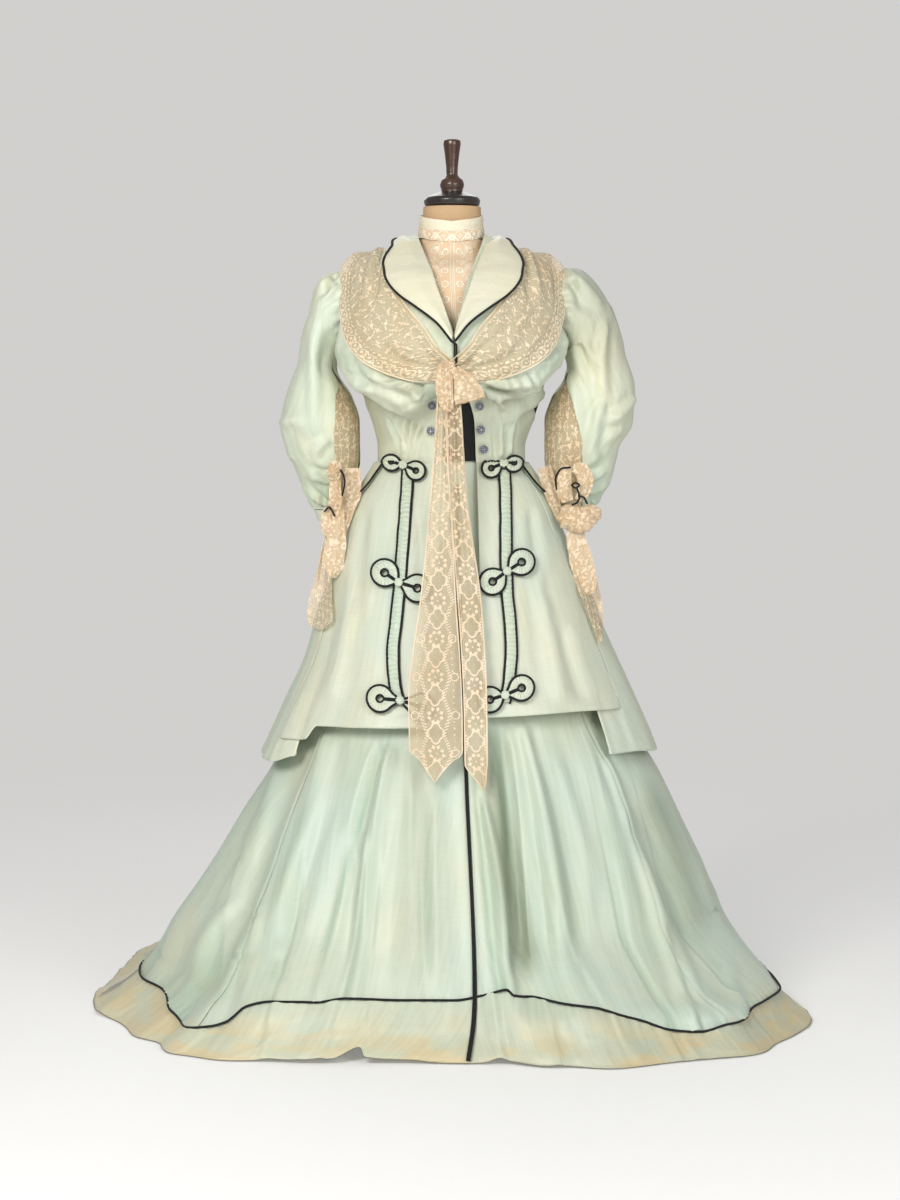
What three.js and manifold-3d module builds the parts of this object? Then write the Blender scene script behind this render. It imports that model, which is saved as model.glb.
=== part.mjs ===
// Trained day dress of about 1902 on a limbless dress form: silk taffeta jacket bodice with a
// pouched front and long jacket skirts, lace bertha, bow and tails, and a trained skirt.
// Millimetres, +Z up. The origin is on the floor under the pole, the wearer faces -Y, and the
// wearer's right side is at -X. Angles go round the body from 0 at the front to 90 at the left.
import * as THREE from 'three';
import { mergeVertices } from 'three/addons/utils/BufferGeometryUtils.js';
import Module from 'manifold-3d';

const wasm = await Module();
wasm.setup();

// ---------------------------------------------------------------- driving sizes
const WAIST = 970;             // height of the waist seam
const SKIRT_TOP = 982;         // top of the skirt's waistband, inside the bodice
const TAFFETA = 1.5;           // wall of the silk
const LACE = 1.0;              // wall of the lace
const SEAM = 0.7;              // gap between pieces sewn edge to edge
const PIPING = 5;              // width of the velvet piping
const PIPING_DEPTH = 4;
const BAND_HALF = 9;           // half the width of a ruched trim band
const BODY_CORNER = 0.94;      // 1 is an ellipse, less is squarer
const SKIRT_CORNER = 0.93;
const LEFT = 1;
const RIGHT = -1;
const BACK_SEAM = 179.9;       // angle of a centre back seam's edge
const FULL_TURN = 360;

const LIFT = {                 // how far each layer lies above the panel under it
  flap: 4.0, band: 4.0, scroll: 7.5, bertha: 7.0, collar: 13.0, under: -5.0, piping: 2.2,
};

const COLOUR = {
  taffeta: '#cfdcc6', taffetaLight: '#d9e0c4', lace: '#d9bf98', velvet: '#14151a',
  steel: '#8f96a3', linen: '#c9a77f', wood: '#3a2219', iron: '#26221f', ivory: '#e6dcc4',
};

// ---------------------------------------------------------------- rings round the body
// Each row is a level ring: half width at the right and left, reach to the front and back, and
// the Y of its widest point.
const SKIRT_RINGS = [
  { height: 0, right: 664, left: 604, front: 505, back: 860, mid: 105, corner: 0.82 },
  { height: 12, right: 642, left: 588, front: 497, back: 828, mid: 102, corner: 0.83 },
  { height: 40, right: 597, left: 556, front: 472, back: 770, mid: 92, corner: 0.86 },
  { height: 60, right: 572, left: 544, front: 460, back: 736, mid: 84, corner: 0.88 },
  { height: 98, right: 540, left: 520, front: 439, back: 676, mid: 70, corner: 0.91 },
  { height: 150, right: 506, left: 498, front: 415, back: 612, mid: 56, corner: 0.92 },
  { height: 216, right: 458, left: 474, front: 386, back: 540, mid: 44, corner: 0.93 },
  { height: 270, right: 422, left: 446, front: 362, back: 486, mid: 36, corner: 0.93 },
  { height: 340, right: 380, left: 412, front: 333, back: 424, mid: 28, corner: 0.93 },
  { height: 435, right: 318, left: 364, front: 296, back: 345, mid: 18, corner: 0.93 },
  { height: 530, right: 262, left: 298, front: 260, back: 302, mid: 12, corner: 0.93 },
  { height: 700, right: 222, left: 224, front: 205, back: 234, mid: 8, corner: 0.93 },
  { height: 850, right: 176, left: 176, front: 150, back: 160, mid: 4, corner: 0.93 },
  { height: 900, right: 157, left: 157, front: 130, back: 131, mid: 2, corner: 0.93 },
  { height: 940, right: 138, left: 138, front: 113, back: 107, mid: 0, corner: 0.93 },
  { height: 985, right: 121, left: 121, front: 98, back: 86, mid: 0, corner: 0.93 },
];

const PEPLUM_RINGS = [
  { height: 430, right: 357, left: 374, front: 330, back: 372, mid: 22 },
  { height: 475, right: 335, left: 360, front: 315, back: 352, mid: 20 },
  { height: 556, right: 297, left: 326, front: 286, back: 318, mid: 16 },
  { height: 620, right: 267, left: 298, front: 262, back: 288, mid: 14 },
  { height: 700, right: 242, left: 263, front: 232, back: 252, mid: 10 },
  { height: 780, right: 213, left: 228, front: 198, back: 212, mid: 8 },
  { height: 850, right: 191, left: 198, front: 168, back: 177, mid: 5 },
  { height: 905, right: 171, left: 174, front: 144, back: 146, mid: 2 },
  { height: 940, right: 151, left: 151, front: 128, back: 121, mid: 0 },
  { height: 970, right: 132, left: 130, front: 112, back: 97, mid: 0 },
];

const FITTED_RINGS = [
  { height: 970, right: 132, left: 130, front: 112, back: 97, mid: 0 },
  { height: 1000, right: 132, left: 130, front: 114, back: 98, mid: 0 },
  { height: 1035, right: 141, left: 141, front: 123, back: 104, mid: 0 },
  { height: 1070, right: 153, left: 154, front: 135, back: 112, mid: 0 },
  { height: 1110, right: 164, left: 165, front: 147, back: 119, mid: 0 },
  { height: 1160, right: 174, left: 174, front: 157, back: 125, mid: 0 },
  { height: 1210, right: 181, left: 181, front: 160, back: 128, mid: 0 },
  { height: 1260, right: 187, left: 187, front: 151, back: 128, mid: 0 },
  { height: 1288, right: 188, left: 188, front: 139, back: 127, mid: 0 },
  { height: 1305, right: 183, left: 183, front: 127, back: 124, mid: 0 },
  { height: 1318, right: 172, left: 171, front: 115, back: 118, mid: 0 },
  { height: 1332, right: 150, left: 149, front: 101, back: 110, mid: 0 },
  { height: 1346, right: 121, left: 119, front: 86, back: 98, mid: 0 },
  { height: 1360, right: 90, left: 88, front: 71, back: 84, mid: 0 },
  { height: 1374, right: 65, left: 61, front: 61, back: 70, mid: 0 },
];

const POUCH_RINGS = [
  { height: 1040, right: 192, left: 186, front: 164, back: 105, mid: 0 },
  { height: 1060, right: 202, left: 196, front: 180, back: 110, mid: 0 },
  { height: 1090, right: 212, left: 207, front: 195, back: 115, mid: 0 },
  { height: 1130, right: 217, left: 214, front: 204, back: 121, mid: 0 },
  { height: 1170, right: 217, left: 215, front: 202, back: 126, mid: 0 },
  { height: 1210, right: 209, left: 207, front: 189, back: 128, mid: 0 },
  { height: 1250, right: 198, left: 198, front: 171, back: 128, mid: 0 },
  { height: 1288, right: 189, left: 189, front: 147, back: 127, mid: 0 },
  ...FITTED_RINGS.filter((row) => row.height > 1300),
];

const NECK_RINGS = [
  { height: 1350, right: 68, left: 64, front: 71, back: 67, mid: 0 },
  { height: 1372, right: 60.5, left: 57.5, front: 62, back: 61, mid: 0 },
  { height: 1395, right: 58, left: 55, front: 58, back: 58, mid: 0 },
  { height: 1420, right: 57, left: 54, front: 57, back: 57, mid: 0 },
];

const TORSO_RINGS = [
  { height: 785, right: 118, left: 118, front: 78, back: 92, mid: 0 },
  { height: 800, right: 138, left: 138, front: 94, back: 110, mid: 0 },
  { height: 850, right: 158, left: 158, front: 112, back: 130, mid: 0 },
  { height: 900, right: 143, left: 143, front: 104, back: 116, mid: 0 },
  { height: 940, right: 123, left: 123, front: 95, back: 93, mid: 0 },
  { height: 975, right: 111, left: 111, front: 86, back: 77, mid: 0 },
  { height: 1010, right: 114, left: 114, front: 88, back: 80, mid: 0 },
  { height: 1060, right: 134, left: 134, front: 104, back: 94, mid: 0 },
  { height: 1110, right: 149, left: 149, front: 121, back: 105, mid: 0 },
  { height: 1160, right: 159, left: 159, front: 131, back: 111, mid: 0 },
  { height: 1210, right: 165, left: 165, front: 133, back: 113, mid: 0 },
  { height: 1255, right: 169, left: 169, front: 125, back: 113, mid: 0 },
  { height: 1290, right: 169, left: 169, front: 107, back: 109, mid: 0 },
  { height: 1308, right: 160, left: 160, front: 92, back: 101, mid: 0 },
  { height: 1322, right: 134, left: 134, front: 77, back: 90, mid: 0 },
  { height: 1336, right: 102, left: 102, front: 64, back: 76, mid: 0 },
  { height: 1348, right: 72, left: 72, front: 55, back: 63, mid: 0 },
  { height: 1362, right: 54, left: 54, front: 50, back: 53, mid: 0 },
  { height: 1400, right: 52, left: 52, front: 49, back: 50, mid: 0 },
  { height: 1421, right: 51, left: 51, front: 49, back: 49, mid: 0 },
];

// Folds that run down the skirt: angle at the waist and at the hem, half width, depth (a ridge
// is positive, a trough negative) and the height at which the fold begins.
const SKIRT_FOLDS = [
  { top: -160, hem: -157, width: 7, depth: 17, start: 800 },
  { top: -143, hem: -136, width: 7, depth: -18, start: 760 },
  { top: -127, hem: -114, width: 7, depth: 17, start: 700 },
  { top: -110, hem: -94, width: 7, depth: -14, start: 620 },
  { top: -94, hem: -72, width: 6, depth: 10, start: 560 },
  { top: -74, hem: -45, width: 5, depth: -24, start: 560 },
  { top: -66, hem: -38, width: 4, depth: 20, start: 600 },
  { top: -50, hem: -31, width: 4.5, depth: 6, start: 560 },
  { top: -29, hem: -22, width: 4, depth: -12, start: 620 },
  { top: -12, hem: -9, width: 5, depth: 5, start: 560 },
  { top: 10, hem: 8.5, width: 3.2, depth: 13, start: 560 },
  { top: 16, hem: 12.8, width: 3.0, depth: -24, start: 620 },
  { top: 23, hem: 18, width: 4, depth: 9, start: 600 }, { top: 36, hem: 27, width: 5, depth: -7, start: 560 },
  { top: 54, hem: 42, width: 5, depth: 11, start: 600 },
  { top: 67, hem: 50, width: 5, depth: -13, start: 560 },
  { top: 84, hem: 66, width: 6, depth: 10, start: 560 },
  { top: 104, hem: 88, width: 7, depth: -14, start: 620 },
  { top: 122, hem: 108, width: 7, depth: 16, start: 700 },
  { top: 138, hem: 130, width: 7, depth: -18, start: 760 },
  { top: 154, hem: 150, width: 7, depth: 18, start: 800 },
  { top: 170, hem: 168, width: 6, depth: -18, start: 820 },
];
// Where the train lies out on the floor: angle, width, depth and the height at which each begins.
const FLOOR_FOLDS = [
  { top: -105, hem: -105, width: 14, depth: -24, start: 150 },
  { top: -64, hem: -64, width: 16, depth: -28, start: 190 },
  { top: -47, hem: -47, width: 8, depth: 24, start: 90 },
  { top: -26, hem: -26, width: 14, depth: 46, start: 190 },
  { top: 12.5, hem: 12.5, width: 3, depth: 22, start: 110 },
  { top: 22, hem: 22, width: 13, depth: 56, start: 190 },
  { top: 37, hem: 37, width: 7, depth: 12, start: 90 }, { top: 46, hem: 46, width: 9, depth: 30, start: 90 },
  { top: 55, hem: 55, width: 28, depth: 66, start: 190 },
  { top: 105, hem: 105, width: 14, depth: -20, start: 150 },
];

const PEPLUM_FOLDS = [
  { top: -64, hem: -60, width: 5, depth: 7, start: 800 },
  { top: -40, hem: -38, width: 6, depth: -4, start: 760 },
  { top: 38, hem: 36, width: 6, depth: -4, start: 760 },
  { top: 70, hem: 74, width: 6, depth: 9, start: 800 },
  { top: 88, hem: 92, width: 6, depth: -9, start: 800 },
  { top: 116, hem: 118, width: 8, depth: 9, start: 860 },
  { top: 148, hem: 150, width: 8, depth: 9, start: 880 },
  { top: -82, hem: -84, width: 6, depth: -8, start: 800 },
  { top: -108, hem: -110, width: 8, depth: 9, start: 860 },
  { top: -146, hem: -148, width: 8, depth: 9, start: 880 },
];

// The middle front seam, as X by height: it leans a little to the wearer's left on its way down.
const FRONT_SEAM = [
  { height: 0, x: 25 }, { height: 60, x: 35 }, { height: 98, x: 37 }, { height: 430, x: 24 },
  { height: 700, x: 14 }, { height: 985, x: 7 },
];

// Seams of the skirt, each a line from the waist to the hem.
const SKIRT_SEAMS = {
  back_right: { top: -BACK_SEAM, hem: -BACK_SEAM }, side_back_right: { top: -118, hem: -104 },
  side_right: { top: -66, hem: -37 }, front: { top: 2.7, hem: 3.1, x: FRONT_SEAM },
  side_left: { top: 54, hem: 42 },
  side_back_left: { top: 113, hem: 98 }, back_left: { top: BACK_SEAM, hem: BACK_SEAM },
  flounce_right: { top: -90, hem: -83 }, flounce_left: { top: 90, hem: 77 },
};

// Seams and edges by angle round the body.
const FLOUNCE_TOP = [
  { angle: -180, height: 58 }, { angle: -130, height: 66 }, { angle: -100, height: 72 },
  { angle: -88, height: 58 }, { angle: -60, height: 50 }, { angle: -44, height: 36 },
  { angle: -36, height: 46 }, { angle: -28, height: 80 }, { angle: -16, height: 93 },
  { angle: 0, height: 92 }, { angle: 8, height: 104 }, { angle: 13, height: 96 }, { angle: 21, height: 85 },
  { angle: 32, height: 48 }, { angle: 40, height: 42 }, { angle: 54, height: 52 }, { angle: 80, height: 56 },
  { angle: 100, height: 72 }, { angle: 130, height: 66 }, { angle: 180, height: 58 },
];

const PEPLUM_HEM = {
  front_right: [{ angle: -64, height: 491 }, { angle: -50, height: 496 }, { angle: -47, height: 519 },
    { angle: -30, height: 522 }, { angle: 0, height: 527 }],
  back_right: [{ angle: -180, height: 440 }, { angle: -100, height: 448 }, { angle: -64, height: 450 }],
  front_left: [{ angle: 0, height: 541 }, { angle: 40, height: 546 }, { angle: 62, height: 543 }],
  back_left: [{ angle: 62, height: 470 }, { angle: 76, height: 462 }, { angle: 180, height: 440 }],
};

const POUCH_BOTTOM = [
  { angle: 0, right: 1106, left: 1110 }, { angle: 10, right: 1084, left: 1102 },
  { angle: 15, right: 1070, left: 1097 }, { angle: 21, right: 1061, left: 1088 },
  { angle: 28, right: 1058, left: 1082 }, { angle: 35, right: 1064, left: 1082 },
  { angle: 40, right: 1074, left: 1087 }, { angle: 46, right: 1086, left: 1095 },
  { angle: 53, right: 1100, left: 1107 }, { angle: 62, right: 1119, left: 1125 },
  { angle: 72, right: 1138, left: 1142 }, { angle: 80, right: 1150, left: 1152 },
  { angle: 90, right: 1155, left: 1155 },
];

// Front edges of the bodice by height: closed from the bow to the waist panel, open in a V above.
const FRONT_EDGE = [
  { height: 970, right: -16, left: 42 }, { height: 1040, right: -15, left: 39 },
  { height: 1075, right: -8, left: 30 }, { height: 1100, right: 0, left: 10 },
  { height: 1125, right: 2, left: 4 }, { height: 1188, right: 2, left: 4 },
  { height: 1236, right: -12, left: 14 }, { height: 1305, right: -38, left: 34 },
  { height: 1345, right: -52, left: 49 }, { height: 1372, right: -62, left: 58 },
];

// Armhole edges by height, as angles on the front and on the back.
const ARMHOLE = [
  { height: 1170, front: 89, back: 91 }, { height: 1182, front: 82, back: 98 },
  { height: 1200, front: 73, back: 107 }, { height: 1225, front: 67, back: 112 },
  { height: 1255, front: 65, back: 114 }, { height: 1282, front: 67, back: 112 },
  { height: 1302, front: 73, back: 107 }, { height: 1314, front: 82, back: 98 },
  { height: 1320, front: 89, back: 91 },
];

// Rows of the bodice front over its pouch: offset from the pouch's lowest line where the cloth
// turns under, the same row on a part with no pouch, and the share of the pouch's reach.
const POUCH_ROWS = [
  { turned: -22, plain: -34, reach: 0.02 }, { turned: 2, plain: -22, reach: 0.16 },
  { turned: -5, plain: -12, reach: 0.5 }, { turned: -3, plain: -3, reach: 0.8 },
  { turned: 8, plain: 8, reach: 0.95 }, { turned: 24, plain: 24, reach: 1 },
];
const UPPER_ROWS = [1190, 1225, 1258, 1286, 1302, 1316, 1330, 1348, 1371];

// Shawl collar: inner (roll) edge and outer edge as X and height, mirrored about COLLAR_CENTRE.
const COLLAR_CENTRE = 2;
const COLLAR_EDGES = [
  { inX: 1, inZ: 1188, outX: 3, outZ: 1176 }, { inX: 6, inZ: 1208, outX: 30, outZ: 1208 },
  { inX: 14, inZ: 1236, outX: 62, outZ: 1233 }, { inX: 22, inZ: 1258, outX: 90, outZ: 1254 },
  { inX: 30, inZ: 1280, outX: 110, outZ: 1279 }, { inX: 39, inZ: 1305, outX: 117, outZ: 1303 },
  { inX: 48, inZ: 1330, outX: 113, outZ: 1316 }, { inX: 57, inZ: 1354, outX: 105, outZ: 1331 },
];
// The same collar over the shoulder and round the back, as angles and heights.
const COLLAR_BACK = [
  { inAngle: 74, inZ: 1366, outAngle: 76, outZ: 1341 }, { inAngle: 96, inZ: 1369, outAngle: 98, outZ: 1340 },
  { inAngle: 125, inZ: 1372, outAngle: 124, outZ: 1336 },
  { inAngle: 150, inZ: 1374, outAngle: 150, outZ: 1328 },
  { inAngle: 179.8, inZ: 1374, outAngle: 179.8, outZ: 1324 },
];

// Lace bertha: lower (outer) edge and upper (inner) edge, as angles and heights.
const BERTHA_EDGES = [
  { outAngle: 1, outZ: 1108, inAngle: 1, inZ: 1144 }, { outAngle: 14, outZ: 1110, inAngle: 6, inZ: 1172 },
  { outAngle: 30, outZ: 1124, inAngle: 12.5, inZ: 1206 },
  { outAngle: 45, outZ: 1150, inAngle: 21, inZ: 1240 }, { outAngle: 58, outZ: 1190, inAngle: 30, inZ: 1276 },
  { outAngle: 66, outZ: 1232, inAngle: 38, inZ: 1306 }, { outAngle: 73, outZ: 1272, inAngle: 49, inZ: 1330 },
  { outAngle: 84, outZ: 1312, inAngle: 66, inZ: 1343 }, { outAngle: 94, outZ: 1322, inAngle: 82, inZ: 1345 },
  { outAngle: 103, outZ: 1308, inAngle: 98, inZ: 1346 },
  { outAngle: 122, outZ: 1254, inAngle: 126, inZ: 1342 },
  { outAngle: 150, outZ: 1212, inAngle: 152, inZ: 1334 },
  { outAngle: 180, outZ: 1198, inAngle: 180, inZ: 1328 },
];

// Sleeve sections from the armhole to the wrist: centre, turn of the section (0 stands upright at
// the armhole, 90 is level), and its reach outwards on the right and the left sleeve, inwards, to
// the front and to the back.
const SLEEVE_ROWS = [
  { along: 0, x: 193, z: 1245, turn: 0, right: 62, left: 64, in: 62, front: 66, back: 60 },
  { along: 1, x: 211, z: 1237, turn: 14, right: 66, left: 76, in: 63, front: 67, back: 62 },
  { along: 2, x: 232, z: 1202, turn: 42, right: 36, left: 70, in: 50, front: 64, back: 63 },
  { along: 3, x: 240, z: 1146, turn: 70, right: 35, left: 72, in: 38, front: 68, back: 66 },
  { along: 4, x: 238, z: 1092, turn: 84, right: 55, left: 88, in: 60, front: 75, back: 71 },
  { along: 5, x: 238, z: 1040, turn: 90, right: 68, left: 84, in: 74, front: 78, back: 73 },
  { along: 6, x: 234, z: 992, turn: 90, right: 60, left: 62, in: 70, front: 71, back: 68 },
  { along: 7, x: 226, z: 948, turn: 90, right: 50, left: 60, in: 58, front: 57, back: 54 },
  { along: 8, x: 222, z: 908, turn: 90, right: 37, left: 44, in: 38, front: 39, back: 37 },
  { along: 9, x: 222, z: 888, turn: 90, right: 26, left: 28, in: 25, front: 28, back: 27 },
];
const CUFF_ROWS = [
  { along: 0, x: 222, z: 885, turn: 90, right: 25, left: 27, in: 25, front: 28, back: 27 },
  { along: 1, x: 221, z: 875, turn: 90, right: 22, left: 26, in: 24, front: 28, back: 27 },
  { along: 2, x: 220, z: 866, turn: 90, right: 20, left: 24, in: 23, front: 27, back: 26 },
];
// Edges of the sleeve's lace gore by row, as angles round the sleeve.
const GORE_EDGE = [
  { along: 3.6, right: 141, left: 136, inner: 158 }, { along: 4, right: 124, left: 118, inner: 168 },
  { along: 5, right: 116, left: 103, inner: 174 }, { along: 6, right: 114, left: 95, inner: 174 },
  { along: 7, right: 110, left: 86, inner: 174 }, { along: 8, right: 112, left: 78, inner: 174 },
  { along: 9, right: 112, left: 74, inner: 174 },
];

// Ruched trim bands: X of the middle line by height.
const BAND_REACH = { low: 566, high: 955 };
const BAND_LINE = [
  { height: 556, right: -86, left: 86 }, { height: 600, right: -97, left: 96 },
  { height: 650, right: -100, left: 100 }, { height: 700, right: -95, left: 98 },
  { height: 760, right: -89, left: 93 }, { height: 830, right: -84, left: 92 },
  { height: 890, right: -80, left: 92 }, { height: 955, right: -76, left: 90 },
];

// Scroll knots on the bands: the middle, the outer and inner loop centres and the loop radius.
const SCROLLS = [
  { name: 'scroll_top_right', x: -82, z: 962, ax: -102, az: 968, bx: -61, bz: 953, radius: 16 },
  { name: 'scroll_middle_right', x: -89, z: 763, ax: -113, az: 779, bx: -58, bz: 754, radius: 23 },
  { name: 'scroll_bottom_right', x: -86, z: 568, ax: -120, az: 570, bx: -50, bz: 558, radius: 22 },
  { name: 'scroll_top_left', x: 86, z: 965, ax: 104, az: 966, bx: 66, bz: 957, radius: 16 },
  { name: 'scroll_middle_left', x: 92, z: 782, ax: 117, az: 797, bx: 68, bz: 765, radius: 22 },
  { name: 'scroll_bottom_left', x: 88, z: 577, ax: 116, az: 588, bx: 63, bz: 570, radius: 21 },
];
const SCROLL_RING = 9;         // width of the ruched ring of a loop
const SCROLL_DEPTH = 5;

// Buttons on the fitted part of the fronts.
const BUTTONS = [
  { name: 'button_right_upper', x: -34, z: 1058 }, { name: 'button_right_lower', x: -36, z: 1027 },
  { name: 'button_left_upper', x: 47, z: 1070 }, { name: 'button_left_middle', x: 49, z: 1029 },
  { name: 'button_left_lower', x: 54, z: 994 },
];
const BUTTON_RADIUS = 8;
const BUTTON_DEPTH = 4;
const BUTTON_STAND = 4;        // gap under a button, where its shank is sewn

const WAIST_PANEL = { from: -26, to: 52, low: WAIST + 3, high: 1076 };
const CHEMISETTE = { low: 1180, high: 1355, tuck: 7 };   // tuck is the lace hidden under the fronts
const FRONT_PIPING = { low: 6, high: 930, lift: 6.8 };

// Lace tails: edges in X by height, and how far in front of the axis they hang.
const TAIL_RIGHT = [
  { height: 438, from: -30, to: -28 }, { height: 456, from: -43, to: -14 }, { height: 474, from: -54, to: 3 },
  { height: 480, from: -61, to: 13 }, { height: 491, from: -72, to: 18 }, { height: 520, from: -73, to: 18 },
  { height: 572, from: -74, to: 17 }, { height: 654, from: -67, to: 13 }, { height: 737, from: -55, to: 7 },
  { height: 907, from: -38, to: -2 }, { height: 1000, from: -31, to: -8 },
  { height: 1050, from: -28, to: -10 }, { height: 1122, from: -22, to: -8 },
];
const TAIL_LEFT = [
  { height: 424, from: 52, to: 54 }, { height: 440, from: 40, to: 58 }, { height: 460, from: 24, to: 59 },
  { height: 466, from: 21, to: 60 }, { height: 572, from: 19, to: 59 }, { height: 654, from: 15, to: 56 },
  { height: 737, from: 9, to: 50 }, { height: 907, from: -4, to: 27 }, { height: 1000, from: -8, to: 20 },
  { height: 1050, from: -10, to: 17 }, { height: 1122, from: -10, to: 10 },
];
const TAIL_REACH = [
  { height: 410, reach: 336 }, { height: 450, reach: 328 }, { height: 500, reach: 322 },
  { height: 560, reach: 312 }, { height: 640, reach: 284 }, { height: 720, reach: 252 },
  { height: 780, reach: 230 }, { height: 860, reach: 221 }, { height: 1000, reach: 219 },
  { height: 1125, reach: 219 },
];
const KNOT = { x: -4, y: -236, z: 1134 };

// Cuff trimmings: the middle of the rosette and the edges of its hanging tail.
const CUFF_TAIL_GAP = 16;
const CUFF_TRIM = {
  right: { x: -217, y: -50, z: 850, tail: [
    { height: 678, from: -250, to: -226 }, { height: 700, from: -257, to: -207 },
    { height: 770, from: -242, to: -211 }, { height: 836, from: -227, to: -211 }] },
  left: { x: 224, y: -52, z: 852, tail: [
    { height: 656, from: 254, to: 266 }, { height: 700, from: 240, to: 268 },
    { height: 765, from: 218, to: 256 }, { height: 838, from: 214, to: 234 }] },
};

// Stand: base, pole, and the turned cap and handle, as radius and height.
const BASE_PROFILE = [
  [0, 0], [165, 0], [168, 4], [168, 12], [150, 20], [60, 30], [30, 42], [17, 48], [0, 48],
];
const POLE_RADIUS = 16;
const POLE_FROM = 48.5;
const POLE_TO = 784.5;
const FINIAL_PROFILE = [
  [0, 1421.6], [46, 1421.6], [49, 1426], [50, 1433], [47, 1438], [34, 1443], [22, 1448], [19, 1452],
  [21, 1457], [21.5, 1462], [19, 1469], [13, 1474], [10, 1478], [10.5, 1492], [13, 1515], [15.5, 1532],
  [15, 1538], [12, 1540], [0, 1540],
];

// ---------------------------------------------------------------- curves through the tables
const radians = THREE.MathUtils.degToRad;
const mix = THREE.MathUtils.lerp;
const turnFor = (width, radius) => THREE.MathUtils.radToDeg(width / radius);

function column(rows, key, name, at) {
  const last = rows.length - 1;
  if (at <= rows[0][key]) return rows[0][name];
  if (at >= rows[last][key]) return rows[last][name];
  let i = 0;
  while (rows[i + 1][key] < at) i += 1;
  const slope = (a) => (rows[a + 1][name] - rows[a][name]) / (rows[a + 1][key] - rows[a][key]);
  const level = (a, b) => (a * b > 0 ? (2 * a * b) / (a + b) : 0);
  const here = slope(i);
  const start = i > 0 ? level(slope(i - 1), here) : here;
  const end = i < last - 1 ? level(here, slope(i + 1)) : here;
  const span = rows[i + 1][key] - rows[i][key];
  const t = (at - rows[i][key]) / span;
  const rise = rows[i + 1][name] - rows[i][name];
  const bend = t * (1 - t) * ((1 - t) * (start - here) - t * (end - here)) * span;
  return rows[i][name] + rise * t + bend;
}

const power = (value, exponent) => Math.sign(value) * Math.abs(value) ** exponent;

function ringPoint(rows, corner, angle, height, push = 0) {
  const half = column(rows, 'height', angle < 0 ? 'right' : 'left', height);
  const mid = column(rows, 'height', 'mid', height);
  const cosine = Math.cos(radians(angle));
  const sine = Math.sin(radians(angle));
  const reach = cosine >= 0
    ? column(rows, 'height', 'front', height) + mid
    : column(rows, 'height', 'back', height) - mid;
  const out = new THREE.Vector2(sine / half, -cosine / reach).normalize();
  return new THREE.Vector3(
    half * power(sine, corner) + out.x * push,
    mid - reach * power(cosine, corner) + out.y * push,
    height,
  );
}

function foldPush(folds, angle, height, full) {
  let push = 0;
  for (const fold of folds) {
    const grown = THREE.MathUtils.smoothstep(fold.start - height, 0, fold.start - full);
    const line = mix(fold.hem, fold.top, THREE.MathUtils.clamp(height / WAIST, 0, 1));
    let away = angle - line;
    if (away > 180) away -= 360;
    if (away < -180) away += 360;
    push += fold.depth * grown * Math.exp(-((away / fold.width) ** 2));
  }
  return push;
}

const ALL_FOLDS = SKIRT_FOLDS.concat(FLOOR_FOLDS);
const skirtCorner = (height) => column(SKIRT_RINGS, 'height', 'corner', height);
const skirt = (angle, height) => ringPoint(
  SKIRT_RINGS, skirtCorner(height), angle, height, foldPush(ALL_FOLDS, angle, height, 60));
const peplum = (angle, height) => ringPoint(
  PEPLUM_RINGS, SKIRT_CORNER, angle, height, foldPush(PEPLUM_FOLDS, angle, height, 440));
const neck = (angle, height) => ringPoint(NECK_RINGS, 1, angle, height);
const torso = (angle, height) => ringPoint(TORSO_RINGS, BODY_CORNER, angle, height);
const fitted = (angle, height) => ringPoint(FITTED_RINGS, BODY_CORNER, angle, height);

const pouchShare = (angle) => 1 - THREE.MathUtils.smoothstep(Math.abs(angle), 66, 88);

function bodice(angle, height, reach = 1) {
  const inner = fitted(angle, height);
  const outer = ringPoint(POUCH_RINGS, BODY_CORNER, angle, height);
  outer.z = height;
  return inner.lerp(outer, pouchShare(angle) * reach);
}

function sleevePoint(rows, side, angle, along) {
  const get = (name) => column(rows, 'along', name, along);
  const cosine = Math.cos(radians(angle));
  const sine = Math.sin(radians(side * angle));
  const out = cosine >= 0 ? get(side === LEFT ? 'left' : 'right') : get('in');
  const depth = sine >= 0 ? get('front') : get('back');
  const turn = radians(get('turn'));
  return new THREE.Vector3(
    side * (get('x') + out * cosine * Math.sin(turn)),
    -depth * sine,
    get('z') + out * cosine * Math.cos(turn),
  );
}

// Angle on a ring for a point X across the front at a height.
function angleAt(rows, corner, x, height) {
  const half = column(rows, 'height', x < 0 ? 'right' : 'left', height);
  return THREE.MathUtils.radToDeg(Math.asin(power(THREE.MathUtils.clamp(x / half, -1, 1), 1 / corner)));
}

// ---------------------------------------------------------------- walls and solids
function outward(surface, u, v) {
  const step = 0.4;
  const across = surface(u + step, v).sub(surface(u - step, v));
  const along = surface(u, v + step).sub(surface(u, v - step));
  return across.cross(along).normalize();
}

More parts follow.
